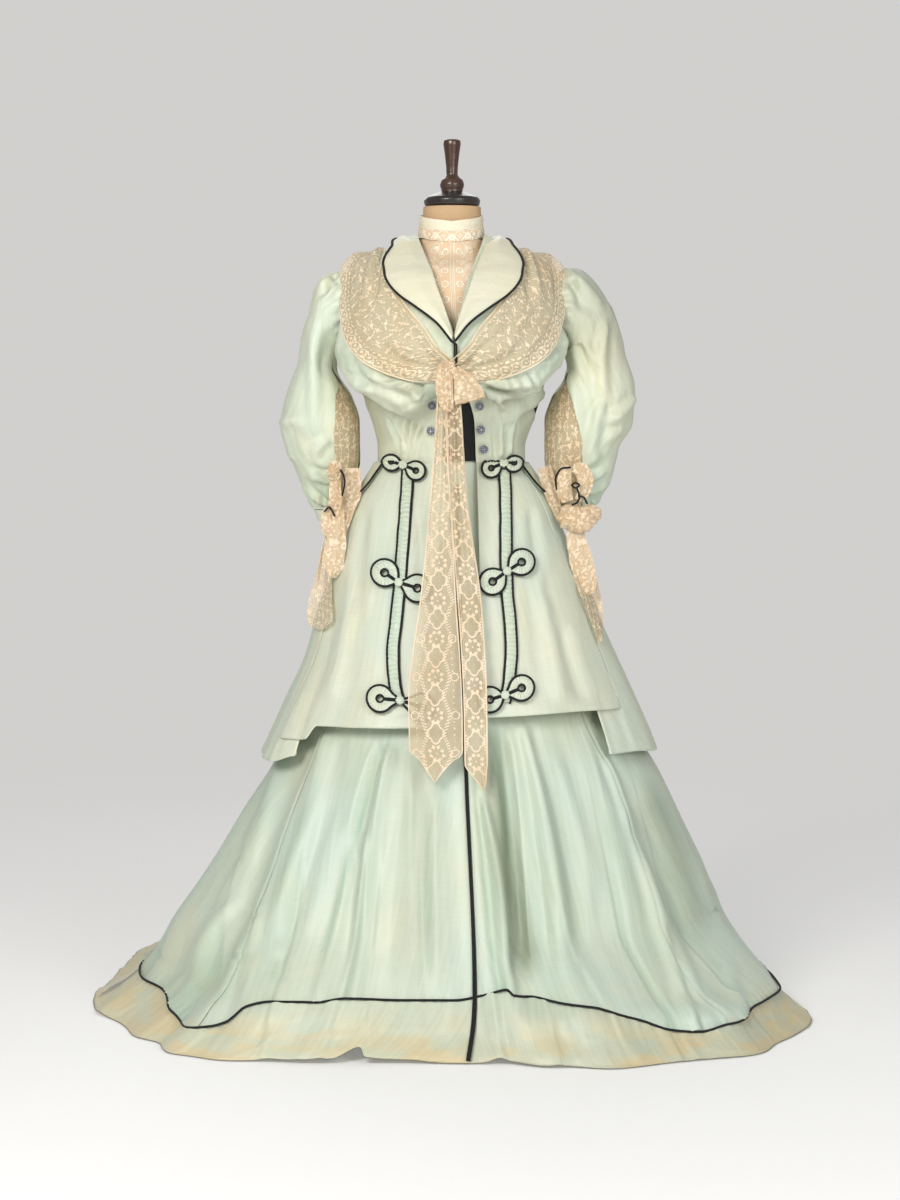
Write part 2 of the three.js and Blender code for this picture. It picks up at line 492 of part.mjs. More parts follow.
// A wall on a surface. place(s, t) gives the surface's own two coordinates for s and t from 0 to 1.
function wall(surface, place, columns, rows, lift, thick, closed = false, rowStops = null) {
  const positions = [];
  const index = [];
  const width = closed ? columns : columns + 1;
  for (const away of [lift, lift + thick]) {
    for (let j = 0; j <= rows; j += 1) {
      const t = rowStops ? rowStops[j] : j / rows;
      for (let i = 0; i < width; i += 1) {
        const [u, v] = place(i / columns, t);
        const point = surface(u, v).addScaledVector(outward(surface, u, v), away);
        positions.push(point.x, point.y, point.z);
      }
    }
  }
  const layer = width * (rows + 1);
  const at = (i, j, side) => side * layer + j * width + (i % width);
  const quad = (a, b, c, d) => index.push(a, b, c, a, c, d);
  const corner = (k) => new THREE.Vector3().fromArray(positions, 3 * k);
  // The fold of a cell runs along the diagonal that stands further out.
  const cell = (i, j) => {
    const [a, b, c, d] = [at(i, j, 1), at(i + 1, j, 1), at(i + 1, j + 1, 1), at(i, j + 1, 1)].map(corner);
    const normal = c.clone().sub(a).cross(d.clone().sub(b));
    return c.add(a).sub(b.add(d)).dot(normal) >= 0 ? 0 : 1;
  };
  for (let j = 0; j < rows; j += 1) {
    for (let i = 0; i < columns; i += 1) {
      const outer = [at(i, j, 1), at(i + 1, j, 1), at(i + 1, j + 1, 1), at(i, j + 1, 1)];
      const inner = [at(i, j, 0), at(i, j + 1, 0), at(i + 1, j + 1, 0), at(i + 1, j, 0)];
      const turn = cell(i, j);
      quad(...outer.slice(turn), ...outer.slice(0, turn));
      quad(...inner.slice(turn), ...inner.slice(0, turn));
    }
  }
  for (let i = 0; i < columns; i += 1) {
    quad(at(i, 0, 0), at(i + 1, 0, 0), at(i + 1, 0, 1), at(i, 0, 1));
    quad(at(i, rows, 1), at(i + 1, rows, 1), at(i + 1, rows, 0), at(i, rows, 0));
  }
  if (!closed) {
    for (let j = 0; j < rows; j += 1) {
      quad(at(0, j, 0), at(0, j, 1), at(0, j + 1, 1), at(0, j + 1, 0));
      quad(at(columns, j, 1), at(columns, j, 0), at(columns, j + 1, 0), at(columns, j + 1, 1));
    }
  }
  return facingOut(positions, index);
}

function facingOut(positions, index) {
  let volume = 0;
  const corner = (i) => new THREE.Vector3().fromArray(positions, 3 * index[i]);
  for (let i = 0; i < index.length; i += 3) volume += corner(i).dot(corner(i + 1).cross(corner(i + 2)));
  if (volume < 0) {
    for (let i = 0; i < index.length; i += 3) [index[i], index[i + 1]] = [index[i + 1], index[i]];
  }
  const geometry = new THREE.BufferGeometry();
  geometry.setAttribute('position', new THREE.Float32BufferAttribute(positions, 3));
  geometry.setIndex(index);
  geometry.computeVertexNormals();
  return geometry;
}

// A closed form through the level rings of a table.
function ringSolid(surface, rows, columns) {
  const positions = [];
  const index = [];
  for (const { height } of rows) {
    for (let i = 0; i < columns; i += 1) {
      positions.push(...surface((360 * i) / columns - 180 + 0.01, height).toArray());
    }
  }
  const last = rows.length - 1;
  positions.push(0, 0, rows[0].height, 0, 0, rows[last].height);
  const foot = columns * rows.length;
  for (let i = 0; i < columns; i += 1) {
    const next = (i + 1) % columns;
    for (let j = 0; j < last; j += 1) {
      const a = j * columns;
      const b = a + columns;
      index.push(a + i, a + next, b + next, a + i, b + next, b + i);
    }
    index.push(foot, next, i, foot + 1, last * columns + i, last * columns + next);
  }
  return facingOut(positions, index);
}

function toSolid(geometry) {
  const plain = geometry.clone();
  plain.deleteAttribute('normal');
  plain.deleteAttribute('uv');
  const merged = mergeVertices(plain, 1e-4);
  const vertProperties = new Float32Array(merged.getAttribute('position').array);
  const triVerts = new Uint32Array(merged.getIndex().array);
  return new wasm.Manifold(new wasm.Mesh({ numProp: 3, vertProperties, triVerts }));
}

function fromSolid(solid) {
  const mesh = solid.getMesh();
  const geometry = new THREE.BufferGeometry();
  geometry.setAttribute('position', new THREE.Float32BufferAttribute(mesh.vertProperties, 3));
  geometry.setIndex(Array.from(mesh.triVerts));
  return geometry;
}

// A flat ring or an open loop of cloth: an annulus in X and Z, thick towards -Y.
function flatRing(x, z, outer, inner, depth, segments, squash = 1, turn = 0) {
  const shape = new THREE.Shape().absellipse(0, 0, outer * squash, outer, 0, 2 * Math.PI, false, turn);
  const gap = outer - inner;
  const hole = new THREE.Path().absellipse(0, 0, outer * squash - gap, inner, 0, 2 * Math.PI, true, turn);
  shape.holes.push(hole);
  const ring = new THREE.ExtrudeGeometry(shape, { depth, curveSegments: segments, bevelEnabled: false });
  return ring.rotateX(Math.PI / 2).translate(x, 0, z);
}

// ---------------------------------------------------------------- the group
const dress = new THREE.Group();
dress.name = 'bustle_dress_on_form';

function add(name, geometry, colour, roughness, metalness = 0) {
  const material = new THREE.MeshStandardMaterial({ color: colour, roughness, metalness });
  material.side = THREE.DoubleSide;
  const mesh = new THREE.Mesh(geometry, material);
  mesh.name = name;
  dress.add(mesh);
}

const silk = (name, geometry, colour = COLOUR.taffeta) => add(name, geometry, colour, 0.45);
const lace = (name, geometry) => add(name, geometry, COLOUR.lace, 0.8);
const velvet = (name, geometry) => add(name, geometry, COLOUR.velvet, 0.9);

// ---------------------------------------------------------------- dress form
add('form_torso', ringSolid(torso, TORSO_RINGS, 32), COLOUR.linen, 0.9);
const turned = (profile, sides) => new THREE.LatheGeometry(
  profile.map(([radius, height]) => new THREE.Vector2(radius, height)), sides).rotateX(Math.PI / 2);
add('form_finial', turned(FINIAL_PROFILE, 24), COLOUR.wood, 0.35);
const pole = new THREE.CylinderGeometry(POLE_RADIUS, POLE_RADIUS, POLE_TO - POLE_FROM, 20);
add('form_pole', pole.rotateX(Math.PI / 2).translate(0, 0, (POLE_FROM + POLE_TO) / 2), COLOUR.wood, 0.4);
add('form_base', turned(BASE_PROFILE, 32), COLOUR.iron, 0.5, 0.6);

// ---------------------------------------------------------------- skirt
const flounceTop = (angle) => column(FLOUNCE_TOP, 'angle', 'height', angle);
const SKIRT_STOPS = [0, 0.03, 0.09, 0.23, 0.42, 0.62, 0.84, 1];
const FLOUNCE_STOPS = [0, 0.4, 1];
const SKIRT_STEP = 14;         // widest turn between two columns
const FLOOR_GAP = 0.2;

// Angle of a seam or a fold at a height.
function lineAngle(line, height) {
  if (line.x) return angleAt(SKIRT_RINGS, skirtCorner(height), column(line.x, 'height', 'x', height), height);
  return mix(line.hem, line.top, THREE.MathUtils.clamp(height / WAIST, 0, 1));
}

// The lines that a panel's columns follow: its two edges, each fold between them, and the lines
// that keep two columns from being more than a step apart.
function panelLines(from, to, folds, step) {
  const marked = [from];
  for (const fold of [...folds].sort((a, b) => a.hem - b.hem)) {
    const clear = fold.hem > marked[marked.length - 1].hem + 2 && fold.hem < to.hem - 2;
    if (clear) marked.push(fold);
  }
  marked.push(to);
  const lines = [from];
  for (let i = 1; i < marked.length; i += 1) {
    const [a, b] = [marked[i - 1], marked[i]];
    const parts = Math.max(2, Math.ceil((b.hem - a.hem) / step));
    for (let k = 1; k < parts; k += 1) {
      lines.push({ top: mix(a.top, b.top, k / parts), hem: mix(a.hem, b.hem, k / parts) });
    }
    lines.push(b);
  }
  return lines;
}

// The columns that all skirt pieces share: its seams, the folds clear of them, and lines between.
const NEAR_SEAM = 2.5;
const skirtSeams = Object.values(SKIRT_SEAMS);
const clearFolds = SKIRT_FOLDS.filter(
  (fold) => skirtSeams.every((seam) => Math.abs(seam.hem - fold.hem) > NEAR_SEAM));
const skirtLines = panelLines(
  SKIRT_SEAMS.back_right, SKIRT_SEAMS.back_left, clearFolds.concat(skirtSeams), SKIRT_STEP);

// A skirt piece between two seams. low and high give its edges' heights at an angle.
function skirtPiece(from, to, low, high, stops, lift, thick) {
  const lines = skirtLines.slice(skirtLines.indexOf(from), skirtLines.indexOf(to) + 1);
  const last = lines.length - 1;
  const place = (s, t) => {
    const i = Math.round(s * last);
    const guess = mix(low(lines[i].hem), high(lines[i].hem), t);
    const sign = Number(i === 0) - Number(i === last);
    const angle = lineAngle(lines[i], guess);
    const gap = sign * turnFor(SEAM / 2, skirt(angle, guess).length());
    return [angle + gap, mix(low(angle), high(angle), t)];
  };
  return wall(skirt, place, last, stops.length - 1, lift, thick, false, stops);
}

const GORES = [
  ['front_right', 'side_right', 'front'], ['front_left', 'front', 'side_left'],
  ['side_right', 'side_back_right', 'side_right'], ['side_left', 'side_left', 'side_back_left'],
  ['back_right', 'back_right', 'side_back_right'], ['back_left', 'side_back_left', 'back_left'],
];
for (const [name, from, to] of GORES) {
  const low = (angle) => flounceTop(angle) + SEAM;
  silk(`skirt_${name}`, skirtPiece(
    SKIRT_SEAMS[from], SKIRT_SEAMS[to], low, () => SKIRT_TOP, SKIRT_STOPS, 0, TAFFETA));
}
const FLOUNCES = [
  ['front_right', 'flounce_right', 'front'], ['front_left', 'front', 'flounce_left'],
  ['back_right', 'back_right', 'flounce_right'], ['back_left', 'flounce_left', 'back_left'],
];
for (const [name, from, to] of FLOUNCES) {
  const high = (angle) => flounceTop(angle) - SEAM;
  silk(`flounce_${name}`, skirtPiece(
    SKIRT_SEAMS[from], SKIRT_SEAMS[to], () => FLOOR_GAP, high, FLOUNCE_STOPS, 0, TAFFETA));
}

// Velvet piping over the flounce seam and down the centre front.
for (const [name, from, to] of [['right', 'back_right', 'front'], ['left', 'front', 'back_left']]) {
  const low = (angle) => flounceTop(angle) - PIPING / 2;
  const high = (angle) => flounceTop(angle) + PIPING / 2;
  velvet(`skirt_piping_hem_${name}`, skirtPiece(
    SKIRT_SEAMS[from], SKIRT_SEAMS[to], low, high, [0, 1], LIFT.piping, PIPING_DEPTH));
}
{
  const place = (s, t) => {
    const height = mix(FRONT_PIPING.low, FRONT_PIPING.high, t);
    const middle = lineAngle(SKIRT_SEAMS.front, height);
    const half = turnFor(PIPING / 2, column(SKIRT_RINGS, 'height', 'front', height));
    return [middle + mix(-half, half, s), height];
  };
  velvet('skirt_piping_front', wall(skirt, place, 1, 14, FRONT_PIPING.lift, PIPING_DEPTH));
}

// ---------------------------------------------------------------- jacket skirts
const PEPLUM_STOPS = [0, 0.2, 0.45, 0.68, 0.86, 1];
const PEPLUM_STEP = 15;
const HEM_LEVEL = 520;
const OPENING = [{ height: 500, right: 2, left: 60 }, { height: 700, right: 6, left: 50 },
  { height: 970, right: -15, left: 43 }];
const openingAngle = (name, height) => angleAt(
  PEPLUM_RINGS, SKIRT_CORNER, column(OPENING, 'height', name, height), height);
const VENT = { right: -64, left: 62 };
const VENT_GAP = 0.12;         // half the gap at a vent, as an angle
const PEPLUM_MARKS = [{ top: -50, hem: -50 }, { top: -47, hem: -47 }];   // the step in the right front's hem
const PEPLUM_PANELS = [
  { name: 'front_right', from: VENT.right + VENT_GAP, to: 'right' },
  { name: 'front_left', from: 'left', to: VENT.left - VENT_GAP },
  { name: 'back_right', from: -BACK_SEAM, to: VENT.right - VENT_GAP },
  { name: 'back_left', from: VENT.left + VENT_GAP, to: BACK_SEAM },
];
for (const { name, from, to } of PEPLUM_PANELS) {
  const hem = PEPLUM_HEM[name];
  const top = WAIST - SEAM;
  const edge = (end, height) => (typeof end === 'number' ? end : openingAngle(end, height));
  const line = (end) => ({ top: edge(end, top), hem: edge(end, HEM_LEVEL) });
  const lines = panelLines(line(from), line(to), PEPLUM_FOLDS.concat(PEPLUM_MARKS), PEPLUM_STEP);
  const last = lines.length - 1;
  const place = (s, t) => {
    const i = Math.round(s * last);
    const guess = mix(column(hem, 'angle', 'height', lines[i].hem), top, t);
    const open = i === 0 ? edge(from, guess) : edge(to, guess);
    const angle = i > 0 && i < last ? lineAngle(lines[i], guess) : open;
    return [angle, mix(column(hem, 'angle', 'height', angle), top, t)];
  };
  silk(`peplum_${name}`, wall(peplum, place, last, PEPLUM_STOPS.length - 1, 0, TAFFETA, false, PEPLUM_STOPS));
}

// Scalloped hip flaps over the side seams of the jacket skirts: lower edge by angle.
const FLAP_TURN = { from: 60, to: 132 };
const FLAP_TOP = WAIST - 3;
const FLAP_EDGE = [
  { angle: 60, height: 962 }, { angle: 64, height: 932 }, { angle: 70, height: 916 },
  { angle: 78, height: 917 }, { angle: 85, height: 908 }, { angle: 92, height: 880 },
  { angle: 104, height: 856 }, { angle: 118, height: 850 }, { angle: 132, height: 862 },
];
for (const [name, side] of [['right', RIGHT], ['left', LEFT]]) {
  const place = (s, t) => {
    const turn = mix(FLAP_TURN.from, FLAP_TURN.to, side === LEFT ? s : 1 - s);
    return [side * turn, mix(column(FLAP_EDGE, 'angle', 'height', turn), FLAP_TOP, t)];
  };
  silk(`hip_flap_${name}`, wall(peplum, place, 9, 2, LIFT.flap, TAFFETA));
}

// ---------------------------------------------------------------- trimming on the jacket skirts
function onPeplum(x, height, lift) {
  const angle = angleAt(PEPLUM_RINGS, SKIRT_CORNER, x, height);
  return peplum(angle, height).addScaledVector(outward(peplum, angle, height), lift);
}
for (const name of ['right', 'left']) {
  const place = (s, t) => {
    const height = mix(BAND_REACH.low, BAND_REACH.high, t);
    const x = column(BAND_LINE, 'height', name, height) + mix(-BAND_HALF, BAND_HALF, s);
    return [angleAt(PEPLUM_RINGS, SKIRT_CORNER, x, height), height];
  };
  silk(`trim_band_${name}`, wall(peplum, place, 1, 12, LIFT.band, TAFFETA), COLOUR.taffetaLight);
}

// Each scroll knot is two loops and a knot, made flat and then laid on the panel.
for (const { name, x, z, ax, az, bx, bz, radius } of SCROLLS) {
  const knot = new THREE.CylinderGeometry(radius * 0.42, radius * 0.42, SCROLL_DEPTH, 4)
    .translate(x, -SCROLL_DEPTH / 2, z);
  const arm = (px, pz) => {
    const far = Math.hypot(px - x, pz - z) - radius * 0.75;
    const bar = new THREE.BoxGeometry(Math.max(far, 4), SCROLL_DEPTH, 9, 1, 1, 1);
    bar.translate(Math.max(far, 4) / 2, -SCROLL_DEPTH / 2, 0).rotateY(-Math.atan2(pz - z, px - x));
    return bar.translate(x, 0, z);
  };
  const solid = toSolid(flatRing(ax, az, radius, radius - SCROLL_RING, SCROLL_DEPTH, 4))
    .add(toSolid(flatRing(bx, bz, radius, radius - SCROLL_RING, SCROLL_DEPTH, 4)))
    .add(toSolid(knot)).add(toSolid(arm(ax, az))).add(toSolid(arm(bx, bz)));
  const geometry = fromSolid(solid);
  const places = geometry.getAttribute('position');
  for (let k = 0; k < places.count; k += 1) {
    const height = Math.min(places.getZ(k), WAIST + 20);
    const point = onPeplum(places.getX(k), height, LIFT.scroll - places.getY(k));
    places.setXYZ(k, point.x, point.y, point.z);
  }
  silk(name, geometry, COLOUR.taffetaLight);
}

// ---------------------------------------------------------------- bodice
function pouchBottom(angle) {
  return column(POUCH_BOTTOM, 'angle', angle < 0 ? 'right' : 'left', Math.abs(angle));
}
const frontEdge = (name, height) => angleAt(
  FITTED_RINGS, BODY_CORNER, column(FRONT_EDGE, 'height', name, height), height);
const LOW_ROWS = 2;
const MID_ROWS = 1;
const FRONT_ROWS = LOW_ROWS + POUCH_ROWS.length + MID_ROWS + UPPER_ROWS.length - 1;

// Height and pouch share of a row of the bodice front, counted up from the waist.
function frontRow(row, angle) {
  const bottom = pouchBottom(angle);
  const share = pouchShare(angle);
  if (row < LOW_ROWS) return { height: mix(WAIST + SEAM, bottom - 34, row / LOW_ROWS), reach: 0 };
  const k = row - LOW_ROWS;
  if (k < POUCH_ROWS.length) {
    const { turned: under, plain, reach } = POUCH_ROWS[k];
    return { height: bottom + mix(plain, under, share), reach };
  }
  const lowest = bottom + POUCH_ROWS[POUCH_ROWS.length - 1].plain;
  const m = k - POUCH_ROWS.length;
  if (m < MID_ROWS) return { height: mix(lowest, UPPER_ROWS[0], (m + 1) / (MID_ROWS + 1)), reach: 1 };
  return { height: UPPER_ROWS[m - MID_ROWS], reach: 1 };
}

function bodiceFront(angle, row) {
  const low = Math.min(Math.max(Math.floor(row), 0), FRONT_ROWS - 1);
  const a = frontRow(low, angle);
  const b = frontRow(low + 1, angle);
  const height = mix(a.height, b.height, row - low);
  return bodice(angle, height, mix(a.reach, b.reach, row - low));
}

for (const [name, side] of [['right', RIGHT], ['left', LEFT]]) {
  const place = (s, t) => {
    const row = Math.round(t * FRONT_ROWS);
    const guess = frontRow(row, side * 30).height;
    const inner = frontEdge(name, guess);
    const outer = side * column(ARMHOLE, 'height', 'front', guess);
    return [side === LEFT ? mix(inner, outer, s) : mix(outer, inner, s), row];
  };
  silk(`bodice_front_${name}`, wall(bodiceFront, place, 9, FRONT_ROWS, 0, TAFFETA));
}
{
  const heights = [WAIST + SEAM, 1040, 1120, 1170, 1200, 1255, 1294, 1307, 1317, 1334, 1371];
  const around = (s, t) => {
    const height = heights[Math.round(t * (heights.length - 1))];
    const side = column(ARMHOLE, 'height', 'back', height);
    return [mix(side, FULL_TURN - side, s), height];
  };
  const behind = (angle, height) => fitted(angle > FULL_TURN / 2 ? angle - FULL_TURN : angle, height);
  silk('bodice_back', wall(behind, around, 12, heights.length - 1, 0, TAFFETA));
}
{
  const place = (s, t) => {
    const height = mix(WAIST_PANEL.low, WAIST_PANEL.high, t);
    const x = mix(WAIST_PANEL.from, WAIST_PANEL.to, s);
    return [angleAt(FITTED_RINGS, BODY_CORNER, x, height), height];
  };
  velvet('velvet_waist_panel', wall(fitted, place, 3, 2, LIFT.under, TAFFETA));
}
for (const { name, x, z } of BUTTONS) {
  const angle = angleAt(FITTED_RINGS, BODY_CORNER, x, z);
  const normal = outward(fitted, angle, z);
  const profile = [
    [0, 0], [BUTTON_RADIUS, 0], [BUTTON_RADIUS, 1.6], [BUTTON_RADIUS * 0.7, 3.4], [0, BUTTON_DEPTH],
  ];
  const button = new THREE.LatheGeometry(profile.map(([r, y]) => new THREE.Vector2(r, y)), 12);
  const turn = new THREE.Quaternion().setFromUnitVectors(new THREE.Vector3(0, 1, 0), normal);
  const centre = fitted(angle, z).addScaledVector(normal, TAFFETA + BUTTON_STAND);
  button.applyQuaternion(turn).translate(centre.x, centre.y, centre.z);
  add(name, button, COLOUR.steel, 0.3, 0.9);
}

// ---------------------------------------------------------------- collar, chemisette and neck
function collarEdges(name, side) {
  const rows = COLLAR_EDGES.map(({ inX, inZ, outX, outZ }) => ({
    inAngle: angleAt(FITTED_RINGS, BODY_CORNER, COLLAR_CENTRE * side + inX, inZ),
    outAngle: angleAt(POUCH_RINGS, BODY_CORNER, COLLAR_CENTRE * side + outX, outZ),
    inZ, outZ,
  }));
  return rows.concat(COLLAR_BACK).map((row, along) => ({ ...row, along }));
}
// The bodice's surface drawn in under the collar, which lies closer as it nears the neck.
function rolled(angle, height) {
  const closer = 5.5 * THREE.MathUtils.smoothstep(height, 1350, 1378);
  return bodice(angle, height).addScaledVector(outward(bodice, angle, height), -closer);
}
for (const [name, side] of [['right', RIGHT], ['left', LEFT]]) {
  const rows = collarEdges(name, side);
  const place = (s, t) => {
    const along = (side === LEFT ? s : 1 - s) * (rows.length - 1);
    const get = (key) => column(rows, 'along', key, along);
    return [side * mix(get('outAngle'), get('inAngle'), t), mix(get('outZ'), get('inZ'), t)];
  };
  silk(`shawl_collar_${name}`, wall(rolled, place, 14, 2, LIFT.collar, TAFFETA), COLOUR.taffetaLight);
}
{
  const place = (s, t) => {
    const height = mix(CHEMISETTE.low, CHEMISETTE.high, t);
    const from = column(FRONT_EDGE, 'height', 'right', height) - CHEMISETTE.tuck;
    const to = column(FRONT_EDGE, 'height', 'left', height) + CHEMISETTE.tuck;
    return [angleAt(FITTED_RINGS, BODY_CORNER, mix(from, to, s), height), height];
  };
  // The bodice's own ring, drawn in to the neck as it rises.
  const chest = (angle, height) => {
    const point = fitted(angle, height);
    const half = column(NECK_RINGS, 'height', 'left', height) + 6;
    const reach = column(NECK_RINGS, 'height', 'front', height) + 5;
    const near = -reach * Math.sqrt(Math.max(1 - (point.x / half) ** 2, 0.02));
    point.y = mix(point.y, near, THREE.MathUtils.smoothstep(height, 1312, 1354));
    return point;
  };
  lace('lace_chemisette', wall(chest, place, 6, 6, LIFT.under, LACE));
}
const COLLAR_LEVELS = [
  { angle: 0, base: 1356, seam: 1375, top: 1393 }, { angle: 45, base: 1362, seam: 1381, top: 1399 },
  { angle: 90, base: 1371, seam: 1391, top: 1407 }, { angle: 180, base: 1378, seam: 1398, top: 1412 },
];
function neckTube(from, to, rows) {
  return (s, t) => {
    const angle = mix(-180, 180, s);
    const level = (name) => column(COLLAR_LEVELS, 'angle', name, Math.abs(angle));
    return [angle, mix(level(from), level(to) - SEAM, t)];
  };
}
lace('lace_neck_collar', wall(neck, neckTube('base', 'seam'), 16, 1, 0, LACE, true));
add('neckband', wall(neck, neckTube('seam', 'top'), 16, 1, 0, TAFFETA, true), COLOUR.ivory, 0.7);

// ---------------------------------------------------------------- bertha, bow and tails
// The bodice's surface lifted over the top of the sleeve, where the lace rides on its gathers.
function shouldered(angle, height) {
  const over = 6 * Math.exp(-(((Math.abs(angle) - 94) / 8) ** 2));
  const lift = over * (1 - THREE.MathUtils.smoothstep(height, 1320, 1345));
  return bodice(angle, height).addScaledVector(outward(bodice, angle, height), lift);
}
{
  const rows = BERTHA_EDGES.map((row, along) => ({ ...row, along }));
  const half = (side) => {
    const one = (s, t) => {
      const along = (side === LEFT ? s : 1 - s) * (rows.length - 1);
      const get = (key) => column(rows, 'along', key, along);
      return [side * mix(get('outAngle'), get('inAngle'), t), mix(get('outZ'), get('inZ'), t)];
    };
    return wall(shouldered, one, 18, 3, LIFT.bertha, LACE);
  };
  lace('lace_bertha_right', half(RIGHT));
  lace('lace_bertha_left', half(LEFT));
}

// A strip hangs at y(x, height), with its edges in X from the table. rows are the shares of its
// height at which it has a row, or null for one at each row of the table.
function hangingStrip(table, y, columns, rows, bulge) {
  const low = table[0].height;
  const high = table[table.length - 1].height;
  const surface = (u, height) => {
    const x = mix(column(table, 'height', 'from', height), column(table, 'height', 'to', height), u / 100);
    return new THREE.Vector3(x, y(x, height) - bulge * Math.sin((Math.PI * u) / 100), height);
  };
  const stops = rows || table.map(({ height }) => (height - low) / (high - low));
  const place = (s, t) => [100 * s, mix(low, high, t)];
  return wall(surface, place, columns, stops.length - 1, 0, LACE, false, stops);
}
const tailY = (extra) => (x, height) => -column(TAIL_REACH, 'height', 'reach', height) + extra;
lace('lace_tail_right', hangingStrip(TAIL_RIGHT, tailY(0), 4, null, 3));
lace('lace_tail_left', hangingStrip(TAIL_LEFT, tailY(5), 4, null, 3));

const LOOP_SIDES = 3;

function bow(centre, loops, knotSize) {
  let solid = toSolid(new THREE.SphereGeometry(1, 6, 4).scale(knotSize, knotSize * 0.8, knotSize * 1.1));
  for (const { x, z, size, squash, turn, depth } of loops) {
    const loop = flatRing(x, z, size, size - 3, depth, LOOP_SIDES, squash, radians(turn));
    solid = solid.add(toSolid(loop.translate(0, depth / 2, 0)));
  }
  return fromSolid(solid).translate(centre.x, centre.y, centre.z);
}
lace('lace_bow', bow(KNOT, [
  { x: -13, z: -32, size: 38, squash: 0.36, turn: -12, depth: 12 },
  { x: 24, z: -28, size: 36, squash: 0.5, turn: 34, depth: 12 },
], 12));

// ---------------------------------------------------------------- sleeves and cuffs
for (const [name, side] of [['right', RIGHT], ['left', LEFT]]) {
  const surface = (angle, along) => sleevePoint(SLEEVE_ROWS, side, angle, along);
  const end = SLEEVE_ROWS.length - 1;
  const edgeGap = 0.5;
  // Above the gore the silk closes on itself; the gore's angles are left to the lace below.
  const gore = (along) => {
    const outer = column(GORE_EDGE, 'along', name, along);
    const inner = column(GORE_EDGE, 'along', 'inner', along);
    const open = THREE.MathUtils.smoothstep(along, GORE_EDGE[0].along - 0.9, GORE_EDGE[0].along);
    const middle = (outer + inner) / 2;
    return [mix(middle, outer, open), mix(middle, inner, open)];
  };
  const silkPlace = (s, t) => {
    const [outer, inner] = gore(end * t);
    return [side * mix(inner + edgeGap, outer + FULL_TURN - edgeGap, side === LEFT ? s : 1 - s), end * t];
  };
  silk(`sleeve_${name}`, wall(surface, silkPlace, 12, end, 0, TAFFETA));
  const laceStops = GORE_EDGE.map(({ along }) => (along - GORE_EDGE[0].along) / (end - GORE_EDGE[0].along));
  const lacePlace = (s, t) => {
    const along = mix(GORE_EDGE[0].along, end, t);
    const [outer, inner] = gore(along);
    return [side * mix(outer + 1, inner - 1, side === LEFT ? s : 1 - s), along];
  };
  lace(`sleeve_lace_${name}`, wall(surface, lacePlace, 3, laceStops.length - 1, 0, LACE, false, laceStops));
  const cuffSurface = (angle, along) => sleevePoint(CUFF_ROWS, side, angle, along);
  const cuffEnd = CUFF_ROWS.length - 1;
  const cuffPlace = (s, t) => [FULL_TURN * s, cuffEnd * t];
  silk(`cuff_${name}`, wall(cuffSurface, cuffPlace, 10, 1, 0, TAFFETA, true));
  const trim = CUFF_TRIM[name];
  lace(`cuff_rosette_${name}`, bow(trim, [
    { x: -side * 4, z: 15, size: 17, squash: 0.5, turn: 20, depth: 8 },
    { x: side * 15, z: 6, size: 17, squash: 0.55, turn: -60 * side, depth: 8 },
  ], 10));
  const drape = (x, height) => Math.min(trim.y, onPeplum(x, height, TAFFETA).y - CUFF_TAIL_GAP);
  lace(`cuff_tail_${name}`, hangingStrip(trim.tail, drape, 3, [0, 1 / 6, 1 / 3, 0.5, 2 / 3, 5 / 6, 1], 3));
}

export default dress;
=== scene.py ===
"""Looks of a trained silk day dress of about 1902 on a limbless dress form.

Tables and curves are in millimetres, and meshes are made in metres in the frame's own axes:
+Z up, the wearer faces -Y, and the wearer's right side is at -X. Angles go round the body
from 0 at the front to 90 at the wearer's left.
"""
import math

import bpy
import numpy as np
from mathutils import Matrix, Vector


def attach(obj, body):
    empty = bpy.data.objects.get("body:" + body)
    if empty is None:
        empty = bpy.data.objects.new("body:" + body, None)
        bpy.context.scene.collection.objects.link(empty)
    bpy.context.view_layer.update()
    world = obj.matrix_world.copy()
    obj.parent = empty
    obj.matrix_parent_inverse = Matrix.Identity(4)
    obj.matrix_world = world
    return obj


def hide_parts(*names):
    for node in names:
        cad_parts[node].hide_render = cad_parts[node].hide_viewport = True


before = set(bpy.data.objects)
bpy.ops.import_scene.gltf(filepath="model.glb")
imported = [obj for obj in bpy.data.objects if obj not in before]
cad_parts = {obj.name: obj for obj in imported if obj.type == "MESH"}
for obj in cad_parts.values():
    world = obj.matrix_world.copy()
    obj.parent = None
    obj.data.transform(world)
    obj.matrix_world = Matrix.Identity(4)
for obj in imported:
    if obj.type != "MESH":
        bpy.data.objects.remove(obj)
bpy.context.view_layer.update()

MM = 0.001
WAIST = 970
SKIRT_TOP = 982
SEAM = 0.12                    # gap between pieces sewn edge to edge
BODY_CORNER = 0.94             # 1 is an ellipse, less is squarer
SKIRT_CORNER = 0.93
PIPING = 2.1                   # radius of the velvet piping
HEM_WALL = 1.4                 # how far the turned-up hem lies behind the cloth
HEM_TURN = 7.0
RIGHT, LEFT = -1, 1
SIDES = (("right", RIGHT), ("left", LEFT))
FULL_TURN = 360


def table(names, rows):
    """Rows of numbers as named columns."""
    return dict(zip(names.split(), np.array(rows, float).T))


